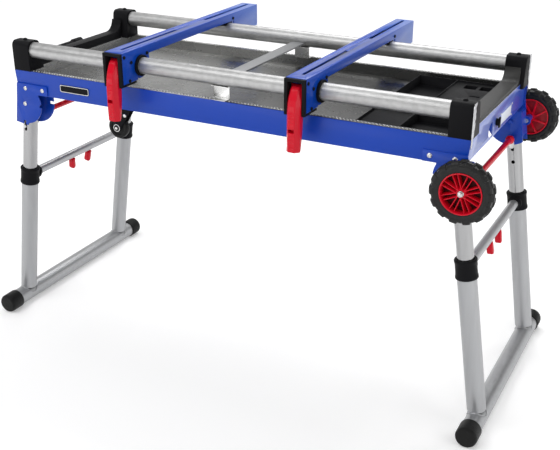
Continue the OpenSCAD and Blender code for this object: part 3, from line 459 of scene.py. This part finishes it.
def tyre_points(side):
    """Tyre: a closed section loop, in mm, turned about the axle. Along the section's outward normal
    it rises by 3.6 * lug * reach * gap * groove: lug steps up with cos(14 a + 0.045 |t|), half a
    wave later on the inner side; reach steps up with the radius, gap with the distance |t| from
    the middle line; and groove is 1 less 0.55 of a bell round |t| = 9.5. Sideways it rises by no
    more than 1.5 + 2.1 times the normal's part along the radius."""
    lugs, tallest, widest, steps = 14, 74.9, 18.4, 560
    half = np.array([[15.2, 49.5], [16.6, 53], [17.0, 58], [16.4, 63], [14.6, 67.4], [11.5, 70.0],
                     [7, 71.0], [2.5, 71.3], [0.9, 71.3], [0, 71.3]])
    s = np.linspace(0, len(half) - 1, 37)
    run = np.stack([np.interp(s, np.arange(len(half)), half[:, k]) for k in (0, 1)], -1)
    loop = np.concatenate([run, (run * [-1, 1])[::-1][1:]])
    d = np.gradient(loop, axis=0)
    normal = np.stack([d[:, 1], -d[:, 0]], -1)
    normal /= np.linalg.norm(normal, axis=1)[:, None]
    normal *= np.sign(np.sum(normal * (loop - [0, 58]), 1))[:, None]
    a = np.arange(steps)[:, None] * 2 * np.pi / steps
    t, r = loop[:, 0], loop[:, 1]
    wave = np.cos(lugs * a + np.where(t > 0, 0, np.pi) + np.abs(t) * 0.045)
    lug = step_up(wave, -0.25, 14)
    reach = step_up(r, 61.5, 1.6)
    gap = step_up(np.abs(t), 1.6, 3)
    groove = 1 - 0.55 * np.exp(-((np.abs(t) - 9.5) / 0.9) ** 2)
    lift = 3.6 * lug * reach * gap * groove
    t = t + normal[:, 0] * np.minimum(lift, 1.5 + 2.1 * np.abs(normal[:, 1]))
    r = np.minimum(r + normal[:, 1] * lift, tallest)
    bore = np.broadcast_to([[[-14.5, 49.42], [14.5, 49.42]]], (steps, 2, 2))
    t = np.concatenate([np.clip(t, -widest, widest), bore[..., 0]], 1)
    r = np.concatenate([r, bore[..., 1]], 1)
    points = np.stack([r * np.sin(a), t, r * np.cos(a)], -1) / 1000
    points += [WHEEL[0], side * WHEEL[1], WHEEL[2]]
    return points.reshape(-1, 3), quad_grid(steps, points.shape[1], True, True)


def wheel_ring(side, profile):
    """Closed profile, in mm from the middle of the wheel, turned about the axle."""
    middle = (WHEEL[0], side * WHEEL[1], WHEEL[2])
    return turned(np.array(profile) / 1000 * [side, 1], middle, "y", 96, ring=True)


def hub_rib(side, angle, u, v, half, depth):
    """Hub rib, in mm: three loops of four corners, u out from the axle and v across it, widened by
    half on each side, lie one over another at depth along the axle, and are turned by angle."""
    u = np.array(u) + 0 * half
    v = np.array(v) + half * [-1, -1, 1, 1]
    x = WHEEL[0] + (u * math.cos(angle) - v * math.sin(angle)) / 1000
    y = side * WHEEL[1] + side * depth / 1000 + 0 * u
    z = WHEEL[2] + (u * math.sin(angle) + v * math.cos(angle)) / 1000
    return np.stack([x, y, z], -1).reshape(-1, 3), lidded(3, 4)


def hub_parts(side):
    """Hub: a rim and a stepped boss turned about the axle, eight slanted ribs on the inner side and
    eight pairs of upright ribs on the outer side, whose outer ends lie a little deeper."""
    rim = [[-16.4, 46.4], [-16.9, 47.2], [-16.4, 49.3], [16.4, 49.3], [16.9, 47.2], [16.4, 46.4],
           [12, 45.8], [-12, 45.8]]
    boss = [[-16, 6.2], [-16, 14], [6, 13.5], [10, 11.4], [12, 10.2], [12.4, 9], [12, 8.4],
            [12, 6.2]]
    parts = [wheel_ring(side, rim), wheel_ring(side, boss)]
    thin = np.array([0, 0, 0.4])[:, None]      # the last loop is narrower by this on each side
    inner = np.array([-11.0, -15.4, -16.1])[:, None]
    outer = np.array([-10.0, 11.6, 12.4])[:, None] * [1, 0.94, 0.94, 1]
    for k in range(8):
        a = math.radians(k * 45 + 22)
        parts.append(hub_rib(side, a, [12, RIM_R, RIM_R, 12], [-3, 4, 4, -3], 2.6 - thin, inner))
        for s in (-1, 1):
            across = np.array([4.0, 6.0, 6.0, 4.0]) * s
            parts.append(hub_rib(side, a, [9.5, RIM_R, RIM_R, 9.5], across, 1.15 - thin, outer))
    return parts


def hub_back(side):
    """Inner side of the hub: a shallow dished disc, its depth 11.6 mm and 1.4 mm times a squared
    sine of the radius."""
    boss_r = 13.5
    r = np.linspace(boss_r, RIM_R, 12)
    t = -11.6 - 1.4 * np.sin((r - boss_r) / (RIM_R - boss_r) * np.pi) ** 2
    plain = [[-11.2, RIM_R], [-11.2, boss_r]]
    return wheel_ring(side, np.concatenate([np.stack([t, r], -1), plain]))


def axle_parts(side):
    """Axle end: a washer, a hexagon nut turned with six sides and chamfered, a stub of thread, and
    the bolt's shank."""
    end = (WHEEL[0], side * (WHEEL[1] + 0.0160), WHEEL[2])
    washer = [[-3.5, 5.5], [-3.5, 7.0], [-3.0, 7.3], [-2.2, 7.3], [-1.6, 6.8]]
    nut = [[-2, 5.0], [-2, 6.3], [3.0, 6.3], [3.7, 5.6], [4.0, 4.2]]
    stub = [[-2, 3.8], [4.5, 3.8], [5.2, 3.0]]
    shank = np.array([[0.2562, 0.006], [0.3262, 0.006]]) * [side, 1]
    parts = [turned(np.array(profile) / 1000 * [side, 1], end, "y", steps)
             for profile, steps in ((washer, 48), (nut, 6), (stub, 32))]
    return parts + [turned(shank, (WHEEL[0], 0, WHEEL[2]), "y", 48)]


HUB_WEB = [[-11.2, 6.2], [-11.2, RIM_R], [-7, RIM_R], [-6, 40], [-5, 20], [-5, 6.2]]

for end, side in FRONT_REAR:
    wheel = end + "_wheel"
    piece(end + "_tyre_tread", [tyre_points(side)], tyre_black, wheel,
          [end + "_tyre"], 40)
    piece(end + "_hub_ribbed", hub_parts(side), red, wheel, [end + "_hub"], 40)
    # The web's dark red is painted shade between the ribs.
    piece(end + "_hub_web", [wheel_ring(side, HUB_WEB)], painted_shade_red, wheel)
    # The inner disc's darker red is painted shade.
    piece(end + "_hub_back", [hub_back(side)], painted_shade_mid_red, wheel)
piece("wheel_axle_bolts", axle_parts(-1) + axle_parts(1), zinc, "top_frame",
      ["wheel_axles"], 30)


# Cam levers

def lever_parts(x):
    """Cam lever: 200 loops down its length run between a front and a back edge. For u across the
    lever the front is its edge + deepest * ((|u| - 8 mm) / 9.4 mm) ** 1.2, a flat nose with two
    slopes that end 13 mm or 0.55 of the depth behind it, and the back is its edge
    - 3 mm * (u / half) ** 8. On the nose, two fields of ridges are 1 mm times a raised sine of the
    height, and one slot is pressed in by 12.5 mm."""
    z = np.array([12, 9, 2, -8, -20, -34, -48, -66, -90, -112, -130, -141, -145.5]) / 1000
    front = np.array([-4, -12, -20, -25.5, -31, -35, -37, -38, -38.6, -38.8, -38.4, -37.8,
                      -36]) / 1000
    back = np.array([4, 9, 11.5, 9, 2, -3, -5, -6, -8, -11, -14, -17, -20]) / 1000
    half, flat, pitch = 0.0174, 0.008, 0.0062
    s = np.linspace(0, len(z) - 1, 200)
    z, front, back = (np.interp(s, np.arange(len(v)), v)[:, None] for v in (z, front, back))
    u = half * np.sin(np.linspace(-np.pi / 2, np.pi / 2, 44))
    v = half * np.sin(np.linspace(np.pi / 2, -np.pi / 2, 24))[1:-1]
    deepest = np.minimum(0.013, (back - front) * 0.55)
    slope = deepest * np.clip((np.abs(u) - flat) / 0.0094, 0, 1) ** 1.2
    ribbed = ((z < -0.045) & (z > -0.078)) | ((z < -0.104) & (z > -0.136))
    ridge = 0.0010 * (0.5 + 0.5 * np.sin(z * 2 * np.pi / pitch)) * ribbed * (np.abs(u) < 0.009)
    slot = 0.0125 * ((z > -0.0965) & (z < -0.0890) & (np.abs(u) < 0.0075))
    y = np.concatenate([front + slope + ridge + slot,
                        back - 0.003 * (np.abs(v) / half) ** 8 + 0 * z], 1)
    across = np.concatenate([u, v]) + 0 * y
    points = np.stack([x + across, -TUBE_Y - LEVER_Y + y, TUBE_Z + LEVER_Z + z + 0 * y], -1)
    return points.reshape(-1, 3), lidded(*y.shape)


for side, x in ARMS.items():
    piece(side + "_lever_moulded", [lever_parts(x)], red, side + "_cam",
          [side + "_lever"], 50)


# Legs

def foot_cap(side, end):
    """Rubber foot: a plain sleeve turned about the foot tube, its radius falling by
    6 mm * (1 - cos q) over the end."""
    q = np.linspace(0, np.pi / 2, 9)
    y = np.concatenate([[0, 0.6, 1.6], 38 + 9 * np.sin(q)]) / 1000
    r = np.concatenate([[25.2, 27.2, 27.9], 27.9 - 6 * (1 - np.cos(q))]) / 1000
    profile = np.stack([end * (0.288 + y), r], -1)
    return on_leg(turned(profile, (0, 0, FOOT_Z), "y", 72), side)


def lock_sleeve(side):
    """Red sleeve with a ball near each end: its radius along Y is 7.8 mm, or the circle of the ball
    where that is larger."""
    y = np.linspace(-0.2076, 0.2076, 400)
    r = np.full_like(y, 0.0078)
    for end in (-1, 1):
        r = np.maximum(r, np.sqrt(np.maximum(0.0119 ** 2 - (y - end * 0.1938) ** 2, 0)))
    r[[0, -1]] = 0.0068
    return on_leg(turned(np.stack([y, r], -1), (0, 0, SLEEVE_Z), "y", 48), side)


def lock_pin_parts(side):
    """Steel ends of the fold lock: two rounded link plates that join the pins to the sleeve, and
    two turned pins with a chamfer and a small centre dimple."""
    plate = np.concatenate([arc(0, SLEEVE_Z, 0.0072, 0, 180, 14),
                            arc(0, PIN_Z + 0.0022, 0.0070, 180, 360, 14)])
    pin = np.array([[0.2082, 0.004], [0.2598, 0.004], [0.2604, 0.0034], [0.2604, 0.0018],
                    [0.2599, 0.0012]])
    thick, gap = 0.0025, 0.0015           # of a link plate, and between it and the bracket
    parts = [slab(plate, low, low + thick, 0.0005)
             for low in (CHEEK_Y - gap - thick, gap - CHEEK_Y)]
    parts += [turned(pin * [end, 1], (0, 0, PIN_Z), "y", 32) for end in (-1, 1)]
    return [on_leg(part, side) for part in parts]


def trigger_parts(side, end):
    """Release trigger: a long paddle slab of two joined arcs with soft rims, a neck up to the
    crossbar, a round knob beside the neck and the pull rod."""
    paddle = np.concatenate([arc(0.0400, -0.2520, 0.0076, -5, 185, 16),
                             arc(0.0375, -0.2705, 0.0084, 175, 355, 18)]) * [end, 1]
    near, far = sorted((end * 0.0378, end * 0.0450))
    knob = np.array([[-6.6, 3.4], [-5.2, 4.8], [5.2, 4.8], [6.6, 3.4]]) / 1000
    rod = np.array([[0.0375, 0.004], [0.2136, 0.004]]) * [end, 1]
    parts = [slab(paddle, -0.0085, 0.0085, 0.0040, "yz", 4),
             block((-0.0035, near, -0.2485), (0.0035, far, -0.2265), 0.0008),
             turned(knob, (0, end * 0.0405 + 0.005, -0.2484), "x", 24),
             turned(rod, (0, 0, BAR_Z), "y", 24)]
    return [on_leg(part, side) for part in parts]


def collar_parts(side):
    """Height collars: a sleeve with a flange at top and foot and a slight waist between them, and a
    socket that falls in steps towards the crossbar."""
    z = np.array([-24.8, -24.8, -23.4, -18.4, -16.4, -8, 10, 16.6, 18.4, 22.6, 24.9, 24.9, 24, 17,
                  17])
    r = np.array([24.05, 27.0, 27.9, 27.9, 27.0, 26.5, 26.5, 27.0, 27.9, 27.9, 26.0, 21.4, 20.85,
                  20.85, 24.05])
    socket = np.array([[24, 19.6], [29.4, 19.4], [31.2, 18.0], [31.8, 15.6], [36.6, 15.2],
                       [38, 14.2], [38, 12.6], [24, 12.6]]) / 1000
    parts = []
    for end in (-1, 1):
        middle = (0, end * LEG_Y, BAR_Z)
        parts.append(turned(np.stack([z, r], -1) / 1000, middle, "z", 64, ring=True))
        parts.append(turned(socket * [-end, 1], middle, "y", 48, ring=True))
    return [on_leg(part, side) for part in parts]


def welded_frame_parts(side):
    """Lower leg: two outer tubes and the foot tube, each turned about its own axis, with a weld
    bead round each joint: a ring of 2.2 mm + 0.3 mm * sin(17 a) in section, which follows the foot
    tube's top at the height sqrt(FOOT_R ** 2 - x ** 2)."""
    a = np.linspace(0, 2 * np.pi, 72, endpoint=False)[:, None]
    b = np.linspace(0, 2 * np.pi, 10, endpoint=False)[None, :]
    outer_tube = [[-0.616, 0.024], [-0.2131, 0.024], [-0.2131, 0.022], [-0.616, 0.022]]
    foot_tube = [[-0.33, FOOT_R], [0.33, FOOT_R], [0.33, 0.0225], [-0.33, 0.0225]]
    joint = 0.0238
    thick = 0.0022 + 0.0003 * np.sin(17 * a)
    reach = joint + thick * np.cos(b)
    z = FOOT_Z + np.sqrt(FOOT_R ** 2 - (joint * np.cos(a)) ** 2) + thick * np.sin(b)
    parts = []
    for end in (-1, 1):
        parts.append(turned(outer_tube, (0, end * LEG_Y, 0), "z", 72, ring=True))
        bead = np.stack([reach * np.cos(a), end * LEG_Y + reach * np.sin(a), z], -1)
        parts.append((bead, quad_grid(72, 10, True, True)))
    parts.append(turned(foot_tube, (0, 0, FOOT_Z), "y", 72, ring=True))
    return [on_leg(part, side) for part in parts]


for end, side in LEFT_RIGHT:
    low = end + "_leg_lower"
    lock = end + "_lock"
    piece(end + "_foot_rubbers", [foot_cap(side, -1), foot_cap(side, 1)], rubber, low,
          [end + "_foot_caps"], 50)
    piece(end + "_lock_sleeve", [lock_sleeve(side)], red, lock,
          [end + "_lock_bar"], 50)
    piece(end + "_lock_pin_ends", lock_pin_parts(side), zinc, lock)
    for where, y_side in FRONT_REAR:
        piece(f"{end}_{where}_trigger_paddle", trigger_parts(side, y_side), red,
              f"{end}_{where}_release", [f"{end}_trigger_{where}"], 50)
    piece(end + "_height_collars", collar_parts(side), black, low,
          [end + "_collars"], 35)
    piece(end + "_welded_foot_frame", welded_frame_parts(side), satin_z, low,
          [end + "_foot_frame"], 40)


# Top frame

def long_tube(y):
    """Long tube: a ring section turned about X, with a fine chamfer at each end."""
    section = np.array([[-647, 19.5], [-647, 21.2], [-646.7, 21.5], [646.7, 21.5], [647, 21.2],
                        [647, 19.5]]) / 1000
    return turned(section, (0, y, TUBE_Z), "x", 96, ring=True)


for end, side in FRONT_REAR:
    piece(end + "_support_tube", [long_tube(side * TUBE_Y)], bright_x, "top_frame",
          [end + "_tube"], 40)


def rivet_head(x, z, side, r):
    """Rivet head on a bracket: a low dome with a pressed dimple, turned about Y."""
    profile = np.array([[0, r], [0.0006, r], [0.0016, r * 0.86], [0.0022, r * 0.62],
                        [0.0024, r * 0.42], [0.0012, r * 0.36]])
    return turned(profile * [side, 1], (x, side * PLATE_Y, z), "y", 40)


rivets, pins, inner_heads = [], [], []
for end, side in CORNERS:
    for inwards in (0.007, 0.067):
        rivets.append(rivet_head(end * (PIVOT[0] - inwards), PIVOT[1] + 0.0454, side, 0.006))
    axis = (end * PIVOT[0], 0, PIVOT[1])
    shank = np.array([[0.2107, 0.004], [PLATE_Y, 0.004]])
    head = np.array([[0.2070, 0.0046], [0.2078, 0.0055], [0.2107, 0.0055]])
    pins.append(rivet_head(end * PIVOT[0], PIVOT[1], side, 0.0062))
    pins.append(turned(shank * [side, 1], axis, "y", 32))
    inner_heads.append(turned(head * [side, 1], axis, "y", 32))
piece("bracket_rivet_heads", rivets, zinc, "top_frame", ["frame_rivets"], 30)
piece("leg_pivot_rivets", pins, zinc, "top_frame", ["leg_pivot_pins"], 30)
piece("pivot_inner_heads", inner_heads, blue, "top_frame", (), 30)


def lip_studs(side):
    """Two staggered rows of small pressed studs along the tray's lip, clear of the tube clips:
    every stud is the same dome, 3.8 mm wide and 0.9 mm high, set at each place."""
    around = 12
    t = np.linspace(0, 2 * np.pi, around, endpoint=False)
    r = np.array([0, 0.8, 1.5, 1.9, 1.9])[:, None] / 1000
    h = np.array([0.9, 0.75, 0.4, 0, -0.3])[:, None] / 1000
    dome = np.stack([r * np.cos(t), r * np.sin(t), h + 0 * t], -1).reshape(-1, 3)
    foot = len(dome) - around
    x = np.arange(-0.592, 0.593, 0.0092)
    x = x[np.abs(x) > 0.030]
    places = np.concatenate([np.stack([x + row * 0.0046,
                                       np.full(len(x), side * (0.2505 - row * 0.0052)),
                                       np.full(len(x), RAIL_TOP + 0.0015)], -1)
                             for row in (0, 1)])
    points = (places[:, None, :] + dome[None]).reshape(-1, 3)
    shift = np.arange(len(places))[:, None, None] * len(dome)
    walls = (quad_grid(len(r), around, False, True)[None] + shift).reshape(-1, 4)
    lids = (np.arange(around)[None, None] + foot + shift).reshape(-1, around)
    return points, walls.tolist() + lids.tolist()


piece("tray_lip_studs", [lip_studs(-1), lip_studs(1)], zinc, "top_frame", (), 50)


# Small fittings

PLATE = (-0.45, 0.72302)                  # middle of the name plate, x and z
piece("blank_name_plate", [slab(clipped(*PLATE, 0.098, 0.021, 0.0032), -0.2572, -0.256, 0.0002)],
      black, "top_frame", ["name_plate"])
piece("name_plate_border",
      [border(clipped(*PLATE, 0.0964, 0.0194, 0.003), clipped(*PLATE, 0.0934, 0.0164, 0.0026),
              -0.2577, -0.2569, "xz")], zinc, "top_frame")


def arm_screw(x, y, z):
    """Button head on an arm's side: a dome and a cup, turned about X."""
    r = 0.0046
    profile = [[0, r], [0.0011, r * 0.97], [0.0021, r * 0.8], [0.0027, r * 0.55],
               [0.0027, r * 0.44], [0.0008, r * 0.4]]
    return turned(profile, (x, y, z), "x", 36)


# Screws of an arm, from the front tube's axis along Y and Z
SCREWS = ((-0.070, 0.035), (-0.041, 0.016), (0.030, 0.026), (-0.051, -0.030), (0.482, 0.032))
for side, x in ARMS.items():
    piece(side + "_arm_screws",
          [arm_screw(x + ARM_HALF, -TUBE_Y + dy, TUBE_Z + dz) for dy, dz in SCREWS], black,
          side + "_tool_arm", (), 30)

CAP_SCREW = [[0, 0.0062], [0.0016, 0.0062], [0.0022, 0.0058], [0.003, 0.0046], [0.0042, 0.0042],
             [0.0045, 0.0034]]
piece("cap_screw_heads",
      [turned(CAP_SCREW, (end * 0.6275, side * TUBE_Y, TUBE_Z + 0.026), "z", 36)
       for end, side in CORNERS], black, "top_frame", ["cap_screws"], 35)


# Casters

def caster_wheel(side):
    """Caster wheel: a rounded tyre, a grooved face and a bore as one closed section, in mm, turned
    about the pin."""
    half = np.array([[9, 6.2], [9, 8.8], [6.2, 9.4], [6.2, 19.6], [8.2, 20.4], [8.9, 21.6],
                     [9, 26.4], [8.4, 28.6], [6.6, 30.2], [4, 31]])
    section = np.concatenate([half, (half * [-1, 1])[::-1], [[-9, 4.1], [9, 4.1]]]) / 1000
    return turned(section, (CASTER[0], side * CASTER[1], CASTER[2]), "y", 72, ring=True)


def caster_bolt_parts(side):
    """Caster pin: a thin ring, a bolt head with a rounded top and the brace's own bolt, turned
    about Y on the outer and inner fork plates."""
    ring = [[12.5, 8.8], [12.5, 10.4], [13.0, 10.7], [13.4, 10.4], [13.4, 8.8]]
    head = [[12.5, 4.6], [14.5, 4.6], [16.2, 3.8], [16.8, 2.2]]
    small = [[12.4, 5.2], [13.4, 5.2], [14.6, 4.0], [14.9, 2.2]]
    pin = (CASTER[0], side * CASTER[1], CASTER[2])
    brace_bolt = (CASTER[0] + 0.030, side * CASTER[1], CASTER[2] + 0.040)
    return [turned(np.array(profile) / 1000 * [end, 1], at, "y", steps, closed)
            for end in (-1, 1)
            for profile, at, steps, closed in ((ring, pin, 48, True), (head, pin, 36, False),
                                               (small, brace_bolt, 36, False))]


def fork_plates(outline):
    """Fork plates beside both casters: the outline, in mm about a caster's pin, as slabs of
    2 mm."""
    outline = np.asarray(outline) / 1000 + [CASTER[0], CASTER[2]]
    middles = [side * CASTER[1] + gap for side in (-1, 1) for gap in (-0.0115, 0.0115)]
    return [slab(outline, y - 0.001, y + 0.001, 0.0004) for y in middles]


for end, side in FRONT_REAR:
    piece(end + "_caster_tread", [caster_wheel(side)], rubber, end + "_caster",
          ["caster_wheel_" + end], 40)
piece("caster_bolts", caster_bolt_parts(-1) + caster_bolt_parts(1), zinc, "top_frame",
      (), 30)
BRACE = np.concatenate([arc(1, -1, 9.6, 195, 330, 10), [[50, 58.4], [50, 76.3], [16, 76.3]],
                        arc(1, -1, 9.6, 150, 165, 3)])
TAB = [[-41, 58.4], [-19, 58.4], [-14.5, 33], [-6, 40], [15.6, 76.3], [-41, 76.3]]
piece("caster_braces", fork_plates(BRACE), black, "top_frame", (), 40)
tops = [block((CASTER[0] - 0.041, side * CASTER[1] - 0.0105, CASTER[2] + 0.0744),
              (CASTER[0] + 0.05, side * CASTER[1] + 0.0105, CASTER[2] + 0.0764), 0.0008)
        for side in (-1, 1)]
piece("caster_hanger_tabs", fork_plates(TAB) + tops, blue, "top_frame",
      ["caster_hangers"], 40)


# Trim of the right end

piece("web_top_edge", [block((0.6446, -0.196, 0.7685), (0.6472, 0.196, 0.7699), 0.0005)],
      pale_plate, "top_frame", (), 30)


def corner_film(side):
    """Thin bright film down a corner of the right end: a strip 6 mm wide at its foot and 18 mm from
    50 mm up, with its outer edge drawn in near the top. Its front lies at x = 655.6 mm
    + 0.9 mm * (0.5 + 0.5 * sin(310 z) * cos(420 y + 90 z)) and its back at x = 655.1 mm."""
    rows, cols = 120, 14
    foot, top, bend = 0.7360, 0.8385, 0.8300
    z = np.linspace(foot, top, rows)[:, None]
    outer = 0.2588 - np.clip(z - bend, 0, 1) * 0.7
    wide = 0.006 + 0.012 * np.clip((z - foot) / 0.05, 0, 1)
    y = outer - wide * np.linspace(0, 1, cols)[None]
    crumple = 0.0009 * (0.5 + 0.5 * np.sin(310 * z) * np.cos(420 * y + 90 * z))
    front = np.stack([0.6552 + crumple + 0.0004, side * y, z + 0 * y], -1)
    back = np.stack([0.6551 + 0 * y, side * y, z + 0 * y], -1)
    n = rows * cols
    face = quad_grid(rows, cols, False, False)
    i = np.arange(rows - 1) * cols
    j = np.arange(cols - 1)
    last = n - cols
    rims = [np.stack([i, i + cols, i + cols + n, i + n], -1),
            np.stack([i + 2 * cols - 1, i + cols - 1, i + cols - 1 + n, i + 2 * cols - 1 + n], -1),
            np.stack([j + 1, j, j + n, j + 1 + n], -1),
            np.stack([last + j, last + j + 1, last + j + 1 + n, last + j + n], -1)]
    points = np.concatenate([front.reshape(-1, 3), back.reshape(-1, 3)])
    return points, np.concatenate([face, face[:, ::-1] + n] + rims)


piece("corner_film", [corner_film(-1), corner_film(1)], pale_plate, "top_frame",
      ["end_plate_right"], 40)
RAIL_END = 0.6470                         # outer face of the right end rail
label = rounded((0.028, 0.7085), (0.122, 0.7355), 0.002, 4)
piece("blank_end_label", [slab(label, RAIL_END, RAIL_END + 0.0004, 0.0001, "yz")], white_label,
      "top_frame", (), 30)
LABEL_RIVET = [[0, 0.0026], [0.0008, 0.0024], [0.0014, 0.0014]]
piece("label_rivets", [turned(LABEL_RIVET, (RAIL_END, y, z), "x", 24)
                       for y in (0.1285, 0.0240) for z in (0.7365, 0.7075)],
      zinc, "top_frame", (), 30)


# Floor, light and camera

def paper_floor():
    """White paper under the bench. To camera, glossy and transmission rays it glows as well, by
    0.26 up to 1.2 m from the middle and rising to 0.50 at 4.5 m."""
    far = 30
    corners = [(-far, -far, 0), (far, -far, 0), (far, far, 0), (-far, far, 0)]
    mesh = bpy.data.meshes.new("studio_floor")
    mesh.from_pydata(corners, [], [(0, 1, 2, 3)])
    paper = bpy.data.materials.new("white_paper")
    paper.use_nodes = True
    tree = paper.node_tree
    rays = node(tree, "LightPath").outputs
    seen = rays["Is Camera Ray"]
    for kind in ("Is Glossy Ray", "Is Transmission Ray"):
        seen = node(tree, "Math", {0: seen, 1: rays[kind]}, operation="MAXIMUM").outputs[0]
    place = node(tree, "TexCoord").outputs["Object"]
    away = node(tree, "VectorMath", {0: place}, operation="LENGTH").outputs["Value"]
    rise = node(tree, "MapRange", {"Value": away, "From Min": 1.2, "From Max": 4.5,
                                   "To Min": 0.26, "To Max": 0.50}).outputs[0]
    glow = node(tree, "Math", {0: seen, 1: rise}, operation="MULTIPLY").outputs[0]
    feed(tree, tree.nodes["Principled BSDF"],
         {"Base Color": (0.86, 0.86, 0.86, 1), "Roughness": 0.9, "Specular IOR Level": 0.1,
          "Emission Color": (1, 1, 1, 1), "Emission Strength": glow})
    mesh.materials.append(paper)
    return into_scene("studio_floor", mesh)


def studio_world():
    """Pale studio: grey at the horizon to white overhead, times dark flags that stand round the
    bench as bands of the compass angle; over both lies a low white wall all round, full up to
    Z = 0.24 (14 degrees) and gone at 0.36."""
    world = bpy.data.worlds.new("studio")
    bpy.context.scene.world = world
    world.use_nodes = True
    tree = world.node_tree
    towards = node(tree, "TexCoord").outputs["Generated"]
    x, y, z = node(tree, "SeparateXYZ", {0: towards}).outputs
    sky = node(tree, "ValToRGB", {"Fac": z})
    for element, at, grey in zip(sky.color_ramp.elements, (0.0, 0.75), (0.42, 1)):
        element.position = at
        element.color = (grey, grey, grey, 1)
    compass = node(tree, "Math", {0: y, 1: x}, operation="ARCTAN2").outputs[0]
    share = node(tree, "MapRange", {"Value": compass, "From Min": -math.pi, "From Max": math.pi})
    flags = node(tree, "ValToRGB", {"Fac": share.outputs[0]})
    ramp = flags.color_ramp
    ramp.interpolation = "EASE"
    stops = [(0.0, 1.0), (0.06, 1.0), (0.10, 0.25), (0.15, 0.25), (0.19, 1.15), (0.33, 1.15),
             (0.375, 0.2), (0.41, 0.2), (0.45, 1.1), (0.54, 1.0), (0.60, 0.25), (0.74, 0.25),
             (0.8, 0.9), (1.0, 1.0)]
    for at, grey in stops:
        element = ramp.elements[0] if at == 0 else ramp.elements.new(at)
        element.color = (grey, grey, grey, 1)
    wall = node(tree, "MapRange", {"Value": z, "From Min": 0.24, "From Max": 0.36, "To Min": 1.0,
                                   "To Max": 0.0}, interpolation_type="SMOOTHSTEP").outputs[0]
    flagged = mixed(tree, 1, sky.outputs["Color"], flags.outputs["Color"], blend_type="MULTIPLY")
    colour = mixed(tree, wall, flagged, (1.25, 1.25, 1.25, 1))
    feed(tree, tree.nodes["Background"], {"Color": colour, "Strength": 0.8})


def lamp(name, place, aim, size, power):
    """Soft rectangular lamp at place, turned so that its -Z points at aim."""
    data = bpy.data.lights.new(name, "AREA")
    data.shape = "RECTANGLE"
    data.size, data.size_y = size
    data.energy = power
    d = np.array(aim, float) - np.array(place, float)
    d /= np.linalg.norm(d)
    side = np.cross(d, (0, 0, 1))
    side /= np.linalg.norm(side)
    up = np.cross(side, d)
    into_scene(name, data).matrix_world = Matrix(
        ((side[0], up[0], -d[0], place[0]), (side[1], up[1], -d[1], place[1]),
         (side[2], up[2], -d[2], place[2]), (0, 0, 0, 1)))


paper_floor()
studio_world()
lamp("key_softbox", (-1.2, -2.0, 3.6), (0, 0, 0.6), (2.4, 1.4), 44)
lamp("low_strip", (-1.5, -3.0, 0.55), (0, 0, 0.75), (3.2, 0.6), 10)
lamp("fill_softbox", (3.4, -0.8, 1.3), (0, 0, 0.5), (2.0, 2.0), 18)
lamp("top_softbox", (0, 1.7, 3.1), (0, 0, 0.7), (3.0, 1.2), 60)

PITCH, YAW = -24.3848, 27.3699            # the photograph's viewing angle, in degrees
optics = bpy.data.cameras.new("photo_camera")
optics.sensor_width = 36
optics.lens = 60.23
camera = into_scene("photo_camera", optics)
camera.location = (1.18094, -2.19176 - MID, 1.44072)
camera.rotation_euler = (math.radians(90 + PITCH), 0, math.radians(YAW))
bpy.context.scene.camera = camera
bpy.context.scene.view_settings.view_transform = "Standard"
